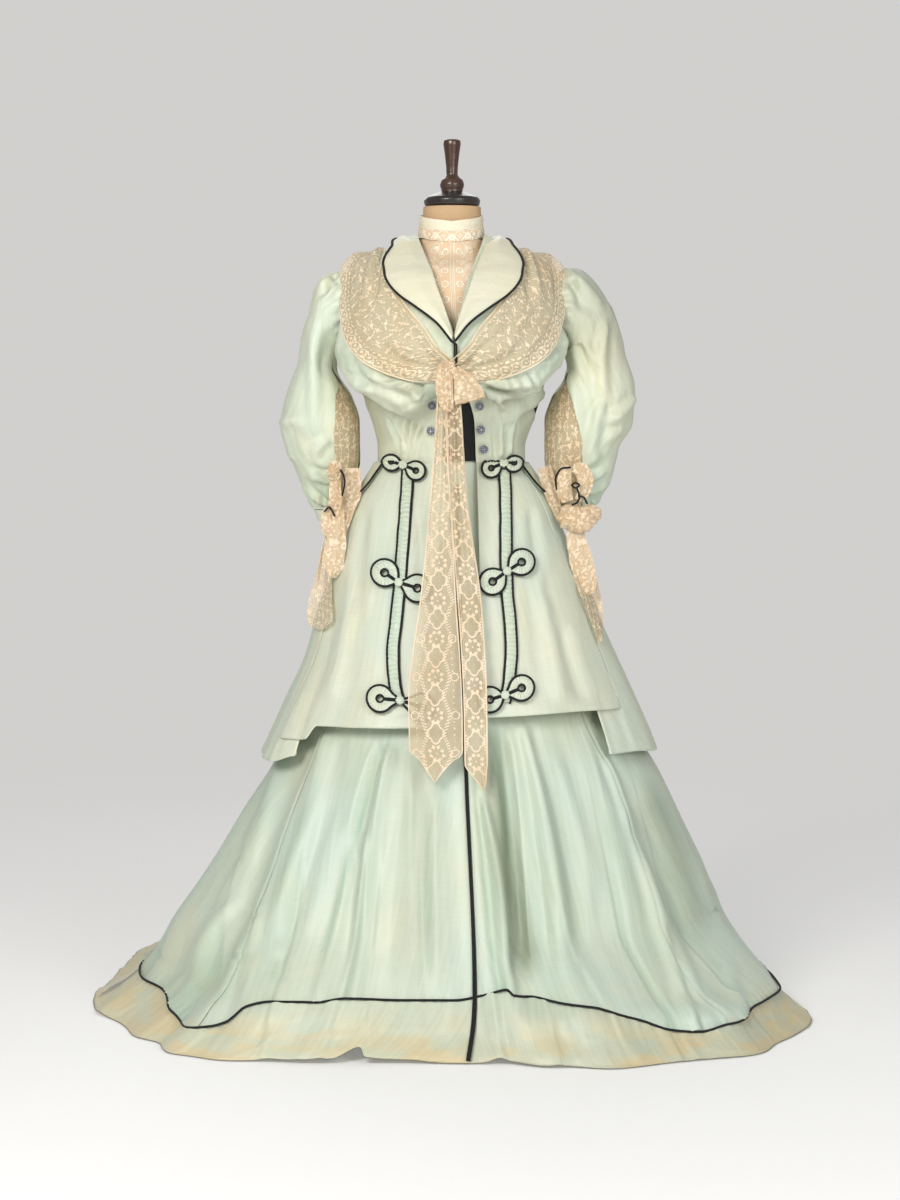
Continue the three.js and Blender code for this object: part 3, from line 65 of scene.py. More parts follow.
# ---------------------------------------------------------------- rings and edges of the cut
SKIRT_RINGS = table("height right left front back mid corner", [
    (0, 664, 604, 505, 860, 105, 0.82), (12, 642, 588, 497, 828, 102, 0.83),
    (40, 597, 556, 472, 770, 92, 0.86), (60, 572, 544, 460, 736, 84, 0.88),
    (98, 540, 520, 439, 676, 70, 0.91),
    (150, 506, 498, 415, 612, 56, 0.92), (216, 458, 474, 386, 540, 44, 0.93),
    (270, 422, 446, 362, 486, 36, 0.93), (340, 380, 412, 333, 424, 28, 0.93),
    (435, 318, 364, 296, 345, 18, 0.93), (530, 262, 298, 260, 302, 12, 0.93),
    (700, 222, 224, 205, 234, 8, 0.93), (850, 176, 176, 150, 160, 4, 0.93),
    (900, 157, 157, 130, 131, 2, 0.93), (940, 138, 138, 113, 107, 0, 0.93),
    (985, 121, 121, 98, 86, 0, 0.93),
])

PEPLUM_RINGS = table("height right left front back mid", [
    (430, 357, 374, 330, 372, 22), (475, 335, 360, 315, 352, 20), (556, 297, 326, 286, 318, 16),
    (620, 267, 298, 262, 288, 14), (700, 242, 263, 232, 252, 10), (780, 213, 228, 198, 212, 8),
    (850, 191, 198, 168, 177, 5), (905, 171, 174, 144, 146, 2), (940, 151, 151, 128, 121, 0),
    (970, 132, 130, 112, 97, 0),
])

FITTED_RINGS = table("height right left front back mid", [
    (970, 132, 130, 112, 97, 0), (1000, 132, 130, 114, 98, 0), (1035, 141, 141, 123, 104, 0),
    (1070, 153, 154, 135, 112, 0), (1110, 164, 165, 147, 119, 0), (1160, 174, 174, 157, 125, 0),
    (1210, 181, 181, 160, 128, 0), (1260, 187, 187, 151, 128, 0), (1288, 188, 188, 139, 127, 0),
    (1305, 183, 183, 127, 124, 0), (1318, 172, 171, 115, 118, 0), (1332, 150, 149, 101, 110, 0),
    (1346, 121, 119, 86, 98, 0), (1360, 90, 88, 71, 84, 0), (1374, 65, 61, 61, 70, 0),
])

NECK_RINGS = table("height right left front back mid", [
    (1350, 68, 64, 71, 67, 0), (1372, 60.5, 57.5, 62, 61, 0), (1395, 58, 55, 58, 58, 0),
    (1420, 57, 54, 57, 57, 0),
])

TORSO_RINGS = table("height right left front back mid", [
    (785, 118, 118, 78, 92, 0), (800, 138, 138, 94, 110, 0), (850, 158, 158, 112, 130, 0),
    (900, 143, 143, 104, 116, 0), (940, 123, 123, 95, 93, 0), (975, 111, 111, 86, 77, 0),
    (1010, 114, 114, 88, 80, 0), (1060, 134, 134, 104, 94, 0), (1110, 149, 149, 121, 105, 0),
    (1160, 159, 159, 131, 111, 0), (1210, 165, 165, 133, 113, 0), (1255, 169, 169, 125, 113, 0),
    (1290, 169, 169, 107, 109, 0), (1308, 160, 160, 92, 101, 0), (1322, 134, 134, 77, 90, 0),
    (1336, 102, 102, 64, 76, 0), (1348, 72, 72, 55, 63, 0), (1362, 54, 54, 50, 53, 0),
    (1400, 52, 52, 49, 50, 0), (1421, 51, 51, 49, 49, 0),
])

SKIRT_FOLDS = table("top hem width depth start", [
    (-26, -26, 14, 46, 190), (-64, -64, 16, -28, 190), (22, 22, 13, 56, 190), (55, 55, 28, 66, 190),
    (-47, -47, 8, 24, 90), (46, 46, 9, 30, 90), (37, 37, 7, 12, 90), (12.5, 12.5, 3, 22, 110),
    (-105, -105, 14, -24, 150), (105, 105, 14, -20, 150),
    (-66, -38, 4, 20, 600), (-74, -45, 5, -24, 560), (-50, -31, 4.5, 6, 560), (-29, -22, 4, -12, 620),
    (-12, -9, 5, 5, 560), (10, 8.5, 3.2, 13, 560), (16, 12.8, 3.0, -24, 620), (23, 18, 4, 9, 600),
    (36, 27, 5, -7, 560),
    (54, 42, 5, 11, 600), (67, 50, 5, -13, 560), (84, 66, 6, 10, 560), (104, 88, 7, -14, 620),
    (122, 108, 7, 16, 700), (138, 130, 7, -18, 760), (154, 150, 7, 18, 800), (170, 168, 6, -18, 820),
    (-94, -72, 6, 10, 560), (-110, -94, 7, -14, 620), (-127, -114, 7, 17, 700),
    (-143, -136, 7, -18, 760), (-160, -157, 7, 17, 800),
])

PEPLUM_FOLDS = table("top hem width depth start", [
    (-64, -60, 5, 7, 800), (-40, -38, 6, -4, 760), (38, 36, 6, -4, 760), (70, 74, 6, 9, 800),
    (88, 92, 6, -9, 800), (116, 118, 8, 9, 860), (148, 150, 8, 9, 880), (-82, -84, 6, -8, 800),
    (-108, -110, 8, 9, 860), (-146, -148, 8, 9, 880),
])

# Where the piping runs over the flounce, low where the hem lies out on the floor.
FLOUNCE_TOP = table("angle height", [
    (-180, 84), (-130, 96), (-101, 100), (-88, 60), (-67, 54), (-57, 47), (-50, 38), (-44, 30), (-36, 40),
    (-33.6, 50), (-32.4, 73), (-28, 85), (-21, 86), (-16, 94), (0, 92), (5, 102), (8.3, 111), (8.9, 103),
    (13, 96), (21, 85), (25, 70), (28, 60), (32, 44), (37, 38), (42, 45), (48, 45), (54, 52), (80, 58),
    (94, 98), (130, 96), (180, 84),
])
# How far the hem's edge stands off the floor.
HEM_LIFT = table("angle height", [
    (-180, 2), (-30, 2), (-21, 5), (-13, 9), (-10.6, 25), (-9, 10), (-4, 7), (0.5, 2), (3, 4), (5, 10),
    (8.5, 6), (11, 2), (180, 2),
])
# The middle front seam leans a little to the wearer's left on its way down.
FRONT_SEAM = table("height x", [(0, 25), (60, 35), (98, 37), (430, 24), (700, 14), (985, 7)])

POUCH_BOTTOM = table("angle right left", [
    (0, 1106, 1110), (10, 1084, 1102), (15, 1070, 1097), (21, 1061, 1088), (28, 1058, 1082),
    (35, 1064, 1082), (40, 1074, 1087), (46, 1086, 1095), (53, 1100, 1107), (62, 1119, 1125),
    (72, 1138, 1142), (80, 1150, 1152), (90, 1155, 1155),
])

FRONT_EDGE = table("height right left", [
    (970, -16, 42), (1040, -15, 39), (1075, -8, 30), (1100, 0, 10), (1125, 2, 4), (1188, 2, 4),
    (1236, -12, 14), (1305, -38, 34), (1345, -52, 49), (1372, -62, 58),
])

ARMHOLE = table("height front back", [
    (1170, 89, 91), (1182, 82, 98), (1200, 73, 107), (1225, 67, 112), (1255, 65, 114), (1282, 67, 112),
    (1302, 73, 107), (1314, 82, 98), (1320, 89, 91),
])

COLLAR_EDGES = table("inX inZ outX outZ", [
    (1, 1188, 3, 1176), (6, 1208, 30, 1208), (14, 1236, 62, 1233), (22, 1258, 90, 1254),
    (30, 1280, 110, 1279), (39, 1305, 117, 1303), (48, 1330, 114, 1321), (57, 1354, 103, 1340),
])

COLLAR_BACK = table("inAngle inZ outAngle outZ", [
    (74, 1366, 70, 1352), (96, 1369, 96, 1358), (125, 1372, 122, 1352), (150, 1374, 150, 1340),
    (179.97, 1374, 179.97, 1334),
])

BERTHA_EDGES = table("outAngle outZ inAngle inZ", [
    (-1, 1108, -1, 1144), (14, 1110, 6, 1172), (30, 1124, 12.5, 1206), (45, 1150, 21, 1240),
    (58, 1190, 30, 1276), (68, 1232, 38, 1306), (75, 1272, 49, 1330), (84, 1312, 66, 1343),
    (94, 1322, 82, 1345), (103, 1308, 98, 1346), (122, 1254, 126, 1342), (150, 1212, 152, 1334),
    (180, 1198, 180, 1328),
])

SLEEVE_ROWS = table("along x z turn right left in front back", [
    (0, 176, 1245, 0, 60, 62, 60, 64, 53), (1, 211, 1237, 14, 66, 76, 63, 67, 62),
    (2, 232, 1202, 42, 36, 70, 50, 64, 63), (3, 240, 1146, 70, 35, 72, 38, 68, 66),
    (4, 238, 1092, 84, 55, 88, 60, 75, 71), (5, 238, 1040, 90, 68, 84, 74, 78, 73),
    (6, 234, 992, 90, 60, 62, 70, 71, 68), (7, 226, 948, 90, 50, 60, 58, 57, 54),
    (8, 222, 908, 90, 37, 44, 38, 39, 37), (9, 222, 888, 90, 26, 28, 25, 28, 27),
])

CUFF_ROWS = table("along x z turn right left in front back", [
    (0, 222, 885, 90, 25, 27, 25, 28, 27), (1, 221, 875, 90, 22, 26, 24, 28, 27),
    (2, 220, 866, 90, 20, 24, 23, 27, 26),
])

# Edges of the sleeve's lace gore as angles round the sleeve.
GORE_EDGE = table("along right left inner", [
    (3.1, 146, 146, 149), (3.6, 141, 136, 158), (4, 124, 118, 168), (5, 116, 103, 174), (6, 114, 95, 174),
    (7, 110, 86, 174), (8, 112, 78, 174), (9, 112, 74, 174),
])

BAND_LINE = table("height right left", [
    (556, -86, 86), (600, -97, 96), (650, -100, 100), (700, -95, 98), (760, -89, 93), (830, -84, 92),
    (890, -80, 92), (955, -76, 90),
])

TAIL_RIGHT = table("height from to", [
    (438, -30, -28), (456, -43, -14), (474, -54, 3), (480, -61, 13), (491, -72, 18), (520, -73, 18),
    (572, -74, 17), (654, -67, 13),
    (737, -55, 7), (907, -38, -2), (1000, -31, -8), (1050, -28, -10), (1122, -22, -8),
])

TAIL_LEFT = table("height from to", [
    (424, 52, 54), (440, 40, 58), (460, 24, 59), (466, 21, 60), (572, 19, 59), (654, 15, 56), (737, 9, 50),
    (907, -4, 27), (1000, -8, 20), (1050, -10, 17), (1122, -10, 10),
])

TAIL_REACH = table("height reach", [
    (410, 336), (450, 328), (500, 322), (560, 312), (640, 284), (720, 252), (780, 230), (860, 221),
    (1000, 219), (1125, 219),
])

FLAP_EDGE = table("angle height", [
    (60, 962), (64, 932), (70, 916), (78, 917), (85, 908), (92, 880), (104, 856), (118, 850),
    (132, 862),
])

COLLAR_LEVELS = table("angle base seam top", [
    (0, 1356, 1375, 1393), (45, 1362, 1381, 1399), (90, 1371, 1391, 1407), (180, 1378, 1398, 1412),
])


def stacked(low, high, level):
    """The rows of one table, and above them those rows of another that are over a level."""
    keep = high["height"] > level
    return {key: np.concatenate([low[key], high[key][keep]]) for key in low}


POUCH_RINGS = stacked(table("height right left front back mid", [
    (1040, 192, 186, 164, 105, 0), (1060, 202, 196, 180, 110, 0), (1090, 212, 207, 195, 115, 0),
    (1130, 217, 214, 204, 121, 0), (1170, 217, 215, 202, 126, 0), (1210, 209, 207, 189, 128, 0),
    (1250, 198, 198, 171, 128, 0), (1288, 189, 189, 147, 127, 0),
]), FITTED_RINGS, 1300)

# Rows of the bodice front over its pouch: offset from the pouch's lowest line where the cloth
# turns under, the same row on a part with no pouch, and the share of the pouch's reach.
LOW_ROWS = 2
POUCH_ROWS = [(-22, -34, 0.02), (2, -22, 0.16), (-5, -12, 0.5), (-3, -3, 0.8), (8, 8, 0.95), (24, 24, 1)]
UPPER_ROWS = [1190, 1225, 1258, 1286, 1302, 1316, 1330, 1348, 1371]

# Seams of the skirt, each as its angle at the waist and at the hem.
BACK_SEAM = 179.98
SKIRT_SEAMS = {
    "back_right": (-BACK_SEAM, -BACK_SEAM), "side_back_right": (-118, -104), "side_right": (-66, -37),
    "front": FRONT_SEAM, "side_left": (54, 42), "side_back_left": (113, 98),
    "back_left": (BACK_SEAM, BACK_SEAM),
    "flounce_right": (-90, -83), "flounce_left": (90, 77),
}
# Pieces between two seams, with the number of columns in each.
GORES = [
    ("front_right", "side_right", "front", 110), ("front_left", "front", "side_left", 110),
    ("side_right", "side_back_right", "side_right", 120), ("side_left", "side_left", "side_back_left", 120),
    ("back_right", "back_right", "side_back_right", 90), ("back_left", "side_back_left", "back_left", 90),
]
FLOUNCES = [
    ("front_right", "flounce_right", "front", 260), ("front_left", "front", "flounce_left", 260),
    ("back_right", "back_right", "flounce_right", 200), ("back_left", "flounce_left", "back_left", 200),
]

PEPLUM_HEM = {
    "front_right": table("angle height", [(-64, 491), (-50, 496), (-47, 519), (-30, 522), (0, 527)]),
    "back_right": table("angle height", [(-180, 440), (-100, 448), (-66, 450), (-53, 470)]),
    "front_left": table("angle height", [(0, 541), (40, 546), (63, 543)]),
    "back_left": table("angle height", [(48, 472), (60, 470), (76, 462), (180, 440)]),
}
OPENING = table("height right left", [(500, 2, 60), (700, 6, 50), (970, -15, 43)])
PEPLUM_PANELS = [
    ("front_right", -63.88, "right", 96, ("low", "left", "right")),
    ("front_left", "left", 62.5, 96, ("low", "left", "right")),
    ("back_right", -BACK_SEAM, "behind", 120, ("low", "right")),
    ("back_left", "under", BACK_SEAM, 120, ("low", "left")),
]
UNDERLAP = table("height angle", [(440, 48.5), (640, 50), (760, 60), (800, 62.7), (970, 62.7)])
SIDE_LAP = table("height angle", [(440, -53), (560, -57), (680, -64.12), (970, -64.12)])
FLAP_TURN = (60, 132)
BAND_REACH = (566, 955)
BAND_HALF = 9

# Scroll knots on the bands: the middle, the outer and inner loop centres and the loop radius.
SCROLLS = [
    ("scroll_top_right", -82, 962, -102, 968, -61, 953, 16),
    ("scroll_middle_right", -89, 763, -113, 779, -58, 754, 23),
    ("scroll_bottom_right", -86, 568, -120, 570, -50, 558, 22),
    ("scroll_top_left", 86, 965, 104, 966, 66, 957, 16),
    ("scroll_middle_left", 92, 782, 117, 797, 68, 765, 22),
    ("scroll_bottom_left", 88, 577, 116, 588, 63, 570, 21),
]

BUTTONS = [
    ("button_right_upper", -34, 1071), ("button_right_lower", -36, 1027), ("button_left_upper", 47, 1070),
    ("button_left_middle", 49, 1029), ("button_left_lower", 54, 994),
]
COLLAR_CENTRE = 2
CLOSING_X = 7.0                # where the fronts close below the collar
KNOT = (-4, -227, 1134)

CUFF_TAIL = {
    "right": table("height from to", [
        (678, -250, -226), (700, -257, -207), (770, -242, -211), (836, -227, -211),
    ]),
    "left": table("height from to", [(656, 254, 266), (700, 240, 268), (765, 218, 256), (838, 214, 234)]),
}
CUFF_KNOT = {"right": (-217, -50, 850), "left": (224, -52, 852)}

# Stand: foot and pole, and the turned cap and handle, as radius and height.
BASE_PROFILE = [(0, 0), (165, 0), (168, 4), (168, 12), (150, 20), (60, 30), (30, 42), (17, 48), (0, 48)]
POLE_RADIUS = 16
CAP_PROFILE = [
    (0, 1421.6), (46, 1421.6), (49, 1426), (50, 1433), (47, 1438), (34, 1443), (22, 1448), (0, 1449),
]
HANDLE_PROFILE = [
    (0, 1446), (19, 1448), (19, 1452), (21, 1457), (21.5, 1462), (19, 1469), (13, 1474), (10, 1478),
    (10.5, 1492), (13, 1515), (15.5, 1532), (15, 1538), (12, 1540), (0, 1540),
]

# Smaller folds of the skirt and of the jacket skirts: angle at waist and hem, half width, depth
# (a ridge is positive, a trough negative) and the height at which each begins.
SKIRT_FINE = table("top hem width depth start", [
    (-60, -33, 2.0, -4, 430), (-55, -41, 2.2, 3.5, 400), (-36, -26, 1.8, 4, 480), (-22, -16, 2.0, -3, 500),
    (-5, -4, 2.6, -2.5, 500), (8, 6.5, 1.3, 3, 380), (26, 21, 1.6, -4, 470), (44, 32, 2.4, 3.5, 470),
    (59, 46, 2.0, -4, 430), (74, 57, 2.6, 4.5, 480), (94, 76, 3.0, -6, 520), (112, 98, 2.6, 5, 600),
    (130, 119, 2.8, -6, 680), (146, 140, 2.5, 6, 720), (163, 160, 2.6, -6, 760), (176, 175, 2.2, 5, 780),
    (-85, -60, 2.8, 5, 520), (-102, -83, 3.0, -6, 560), (-119, -105, 2.6, 6, 640), (-135, -126, 2.8, -6, 720),
    (-152, -147, 2.4, 6, 760), (-170, -168, 2.6, -6, 800),
])
# Folds that lie over to one side, with a crisp edge: over is +1 where the wearer's left of the edge
# is uppermost, and -1 where the right is.
SKIRT_LAPS = table("top hem width depth start over", [
    (-62, -32.5, 4.2, 3.4, 500, 1), (-105, -51.5, 6.0, 3.0, 470, 1), (-27, -22.3, 2.4, 4.4, 620, -1),
    (-29.7, -15.7, 1.8, 2.4, 560, 1), (-18.7, -5, 2.6, 1.3, 520, -1), (-7, -0.5, 2.0, 1.3, 540, 1),
    (4.2, 9.6, 2.6, 6.0, 640, -1), (25.4, 18.4, 3.2, 3.4, 640, -1), (14, 29.5, 3.0, 2.0, 560, 1),
    (54, 37.4, 4.0, 2.6, 560, -1), (58, 39, 3.4, 2.8, 600, 1), (72, 56, 4.5, 2.6, 560, -1),
    (120, 104, 5, 4, 640, -1), (-128, -112, 5, 4, 640, 1),
    (150, 144, 5, 4, 760, 1), (-150, -145, 5, 4, 760, -1),
])
# Painted shade in the folds, as deeper silk: lines in X and height, as the creases below, with a share for a
# depth.
SKIRT_SHADES = [
    (74, 480, 124, 110, 4, 17, 0.75, 0.15, 0.3), (60, 540, 76, 430, 0, 14, 0.5, 0.2, 0.3),
    (-117, 480, -222, 115, -6, 6, 0.65, 0.1, 0.2), (-318, 410, -400, 215, 0, 30, 0.2, 0.2, 0.35),
    (-45, 400, -38, 120, 0, 11, 0.32, 0.2, 0.2), (140, 430, 212, 110, 5, 12, 0.3, 0.2, 0.2),
    (250, 400, 350, 110, 8, 20, 0.42, 0.2, 0.2), (320, 450, 440, 150, 8, 20, 0.38, 0.2, 0.3),
    (-230, 430, -330, 180, 4, 12, 0.3, 0.3, 0.3), (-150, 500, -185, 400, 0, 20, 0.3, 0.2, 0.4),
]
# Painted shade, darker still: lines in X and height, as the creases below, with a share for a depth.
SKIRT_DARKS = [
    (58, 540, 128, 112, -4, 24, 1.0, 0.25, 0.12), (-62, 600, -52, 90, 2, 42, 0.42, 0.3, 0.25),
    (150, 520, 215, 110, 6, 16, 0.25, 0.3, 0.2), (330, 420, 430, 130, 6, 40, 0.5, 0.2, 0.2),
]
# Painted shade in the pockets under the pouch and down the sides: lines in X and height, as the creases
# below.
BODICE_DARKS = [
    (-128, 1122, -34, 1090, -6, 8, 0.7, 0.2, 0.2), (52, 1106, 126, 1078, 4, 8, 0.7, 0.2, 0.2),
    (-130, 1085, -120, 990, 0, 16, 0.35, 0.2, 0.2), (128, 1080, 124, 985, 0, 14, 0.3, 0.2, 0.2),
]
PEPLUM_FINE = table("top hem width depth start", [
    (-56, -55, 2.2, -2.5, 760), (-72, -73, 2.6, 3, 780), (-95, -97, 3.0, -4, 800), (-122, -124, 3.4, 4, 820),
    (-134, -136, 3.0, -4, 820), (-162, -163, 3.2, 4, 840), (56, 56, 2.2, -2.5, 760), (80, 82, 2.6, 4, 780),
    (102, 104, 3.0, -4, 800), (128, 130, 3.2, 4, 820), (138, 140, 3.0, -4, 820), (166, 168, 3.2, 4, 840),
    (24, 22, 4.0, -1.6, 720), (-20, -19, 4.0, -1.6, 720),
])

# Creases in the plane of X and height: start, end, bow, half width, depth (a ridge is positive)
# and the share of the length over which each end fades.
POUCH_CREASES = [
    (-166, 1192, -160, 1150, -4, 7, -12, 0.1, 0.4), (-192, 1128, -125, 1092, 6, 8, -5, 0.2, 0.3),
    (-150, 1127, -60, 1108, -8, 9, 10, 0.15, 0.1), (-118, 1119, -48, 1097, 5, 6, -17, 0.15, 0.05),
    (-165, 1102, -80, 1068, 8, 9, 6, 0.2, 0.2), (-128, 1140, -112, 1112, 3, 6, -6, 0.2, 0.3),
    (-190, 1225, -199, 1145, 6, 12, 7, 0.2, 0.3), (-180, 1215, -186, 1160, 2, 6, -5, 0.2, 0.3),
    (-176, 1160, -150, 1096, 0, 7, -5, 0.3, 0.2), (-95, 1090, -70, 1066, 4, 6, -5, 0.2, 0.1),
    (60, 1101, 112, 1087, -5, 8, -15, 0.1, 0.25), (52, 1113, 150, 1116, -10, 9, 9, 0.1, 0.2),
    (183, 1242, 171, 1157, 4, 8, -8, 0.1, 0.4), (202, 1224, 202, 1164, 5, 9, 7, 0.1, 0.4),
    (202, 1170, 126, 1084, -8, 11, 7, 0.2, 0.2), (168, 1140, 135, 1104, -4, 7, -6, 0.2, 0.2),
    (132, 1130, 138, 1084, 2, 5, -5, 0.1, 0.3), (96, 1128, 104, 1096, 0, 5, -4, 0.2, 0.2),
    (204, 1124, 92, 1052, 5, 8, 8, 0.1, 0.2), (196, 1104, 110, 1046, 4, 6, -6, 0.1, 0.2),
    (150, 1078, 84, 1036, 3, 6, 6, 0.2, 0.2), (80, 1082, 88, 1062, 0, 4, 6, 0.2, 0.2),
]
WAIST_CREASES = [
    (-113, 1045, -88, 1002, 2, 4, -4, 0.1, 0.1), (-95, 1041, -76, 981, 2, 4, -4, 0.1, 0.02),
    (-76, 1045, -71, 978, 0, 4, -4, 0.1, 0.02), (-63, 1038, -66, 978, 0, 4, -4, 0.1, 0.02),
    (-49, 1034, -62, 978, -2, 4, -4, 0.1, 0.02), (-102, 1045, -82, 988, 2, 4, 4, 0.1, 0.02),
    (-85, 1045, -73, 978, 0, 4, 4, 0.1, 0.02), (-70, 1045, -68, 978, 0, 4, 3.5, 0.1, 0.02),
    (-56, 1038, -64, 978, 0, 4, 3.5, 0.1, 0.02),
    (70, 1050, 76, 980, 0, 4, -4, 0.1, 0.02), (84, 1052, 84, 980, 0, 4, 4, 0.1, 0.02),
    (98, 1050, 92, 982, -2, 4, -4, 0.1, 0.02), (112, 1048, 100, 984, -2, 4, 3.5, 0.1, 0.02),
]
SLEEVE_CREASES = {
    "right": [
        (-207, 1301, -233, 1256, 3, 6, -7, 0.02, 0.5), (-202, 1282, -238, 1248, 3, 5, 6, 0.02, 0.5),
        (-214, 1298, -235, 1274, 2, 5, 5, 0.02, 0.5), (-246, 1211, -246, 1010, 4, 10, 5, 0.3, 0.3),
        (-214, 1211, -239, 1100, 6, 14, -6, 0.2, 0.4), (-309, 1038, -243, 1031, 8, 12, 5, 0.1, 0.6),
        (-278, 965, -306, 1031, 6, 9, 5, 0.3, 0.1), (-219, 898, -268, 947, 4, 6, -6, 0.02, 0.5),
        (-220, 895, -252, 919, 3, 5, 5, 0.02, 0.5), (-217, 954, -260, 968, 5, 7, -5, 0.1, 0.5),
        (-214, 933, -257, 958, 4, 6, 5, 0.1, 0.5), (-212, 1013, -248, 975, -5, 9, 5, 0.2, 0.3),
    ],
    "left": [
        (206, 1305, 269, 1232, 6, 9, 6, 0.02, 0.3), (210, 1288, 230, 1229, 3, 8, -7, 0.02, 0.4),
        (272, 1229, 268, 1080, -6, 9, 7, 0.2, 0.2), (268, 1086, 242, 968, -5, 9, 6, 0.2, 0.2),
        (220, 1177, 241, 1118, 3, 8, -8, 0.05, 0.5), (325, 1086, 280, 1045, 5, 8, 6, 0.1, 0.2),
        (301, 1038, 259, 1031, 5, 9, -5, 0.1, 0.4), (238, 954, 280, 982, -4, 8, -6, 0.02, 0.5),
        (242, 916, 286, 944, -4, 6, 5, 0.02, 0.4), (242, 933, 273, 965, -4, 6, 5, 0.02, 0.5),
        (244, 905, 280, 926, -4, 5, -5, 0.02, 0.4), (199, 1149, 224, 996, 5, 10, 5, 0.2, 0.4),
    ],
}
SKIRT_CREASES = [
    (-119, 492, -154, 328, -4, 10, -9, 0.1, 0.2), (-154, 336, -197, 76, 6, 12, -11, 0.2, 0.1),
    (-104, 517, -180, 154, 5, 14, 8, 0.2, 0.3), (-72, 517, -73, 76, 0, 20, -5, 0.2, 0.3),
    (-25, 440, -21, 76, 0, 14, 5, 0.2, 0.2), (-213, 517, -318, 163, 10, 18, 8, 0.1, 0.2),
    (-214, 392, -283, 154, 0, 12, -4, 0.3, 0.3), (-270, 111, -287, 163, 10, 14, -5, 0.3, 0.3),
    (-298, 472, -372, 220, 6, 14, 7, 0.1, 0.3), (-372, 220, -464, 82, -6, 12, 6, 0.2, 0.2),
    (-345, 257, -383, -28, 0, 14, -5, 0.2, 0.2), (-391, 138, -327, 142, 3, 4, -3.5, 0.3, 0.3),
    (-372, 206, -318, 202, 3, 4, -3, 0.3, 0.3), (-551, 94, -469, 91, 4, 5, -4, 0.2, 0.4),
    (-381, 316, -372, 275, 4, 8, -4, 0.3, 0.3), (-464, 82, -514, 41, 4, 8, 5, 0.2, 0.3),
    (51, 417, 97, 88, 6, 8, 9, 0.1, 0.05), (84, 518, 105, 122, 8, 12, -12, 0.1, 0.1),
    (117, 535, 189, 122, 10, 12, 9, 0.1, 0.2), (155, 476, 214, 206, 6, 14, -7, 0.2, 0.3),
    (213, 518, 315, 164, 12, 20, 5, 0.2, 0.3), (259, 474, 312, 333, 5, 8, 6, 0.2, 0.3),
    (312, 333, 419, -26, 10, 12, 7, 0.2, 0.05), (361, 192, 437, -26, 3, 8, -7, 0.2, 0.05),
    (294, 430, 401, 120, 10, 16, -7, 0.2, 0.3), (475, 192, 445, 183, 3, 6, -4, 0.2, 0.4),
    (498, 14, 480, 120, 6, 9, 5, 0.1, 0.4), (461, 351, 475, 200, -4, 12, -4, 0.3, 0.3),
]
PEPLUM_CREASES = [
    (-170, 800, -214, 560, 6, 12, 5, 0.2, 0.1), (-150, 900, -180, 700, 4, 10, -4, 0.2, 0.2),
    (-40, 700, -30, 540, 3, 18, 3, 0.3, 0.1), (-60, 900, -50, 700, 3, 12, -3, 0.2, 0.3),
    (150, 820, 190, 560, -6, 12, 5, 0.2, 0.1), (136, 900, 168, 720, -4, 10, -4, 0.2, 0.2),
    (190, 700, 230, 560, -4, 12, -4, 0.2, 0.1),
]


# ---------------------------------------------------------------- curves through the tables
def column(tab, key, name, at):
    """A smooth curve through one column of a table that never passes its rows."""
    x, y = tab[key], tab[name]
    at = np.clip(at, x[0], x[-1])
    low = np.clip(np.searchsorted(x, at, side="right") - 1, 0, len(x) - 2)
    slopes = np.diff(y) / np.diff(x)
    before, after = slopes[:-1], slopes[1:]
    same = before * after > 0
    level = np.where(same, 2 * before * after / np.where(same, before + after, 1), 0)
    tangents = np.concatenate([slopes[:1], level, slopes[-1:]])
    span = np.diff(x)[low]
    t = (at - x[low]) / span
    here = slopes[low]
    bend = t * (1 - t) * ((1 - t) * (tangents[low] - here) - t * (tangents[low + 1] - here)) * span
    return y[low] + (y[low + 1] - y[low]) * t + bend


def mix(a, b, t):
    return a + (b - a) * t


def smooth(x, low, high):
    t = np.clip((x - low) / (high - low), 0, 1)
    return t * t * (3 - 2 * t)


def power(value, exponent):
    return np.sign(value) * np.abs(value) ** exponent


def by_side(tab, key, at, angle, names=("right", "left")):
    return np.where(angle < 0, column(tab, key, names[0], at), column(tab, key, names[1], at))


def ring_point(rings, corner, angle, height, push=0.0):
    half = by_side(rings, "height", height, angle)
    middle = column(rings, "height", "mid", height)
    cosine, sine = np.cos(np.radians(angle)), np.sin(np.radians(angle))
    front = column(rings, "height", "front", height) + middle
    back = column(rings, "height", "back", height) - middle
    reach = np.where(cosine >= 0, front, back)
    out_x, out_y = sine / half, -cosine / reach
    length = np.hypot(out_x, out_y)
    x = half * power(sine, corner) + out_x / length * push
    y = middle - reach * power(cosine, corner) + out_y / length * push
    return np.stack([x, y, height + 0 * angle], -1)


def line_angle(line, height):
    """Angle at a height of a seam or fold, given as its waist and hem angles or as a table of X."""
    if isinstance(line, dict):
        return front_seam_angle(height)
    return mix(line[1], line[0], np.clip(height / WAIST, 0, 1))


def front_seam_angle(height, shift=0.0):
    corner = column(SKIRT_RINGS, "height", "corner", height)
    return angle_at(SKIRT_RINGS, corner, column(FRONT_SEAM, "height", "x", height) + shift, height)


def fold_push(folds, angle, height, full):
    push = np.zeros(np.broadcast(angle, height).shape)
    for top, hem, width, depth, start in zip(*folds.values()):
        away = (angle - line_angle((top, hem), height) + 180) % 360 - 180
        push += depth * smooth(start - height, 0, start - full) * np.exp(-((away / width) ** 2))
    return push


def skirt(angle, height):
    angle, height = np.broadcast_arrays(angle, height)
    push = fold_push(SKIRT_FOLDS, angle, height, 60)
    return ring_point(SKIRT_RINGS, column(SKIRT_RINGS, "height", "corner", height), angle, height, push)


def peplum(angle, height):
    angle, height = np.broadcast_arrays(angle, height)
    push = fold_push(PEPLUM_FOLDS, angle, height, 440)
    return ring_point(PEPLUM_RINGS, SKIRT_CORNER, angle, height, push)


def neck(angle, height):
    return ring_point(NECK_RINGS, 1, angle, height)


def torso(angle, height):
    return ring_point(TORSO_RINGS, BODY_CORNER, angle, height)


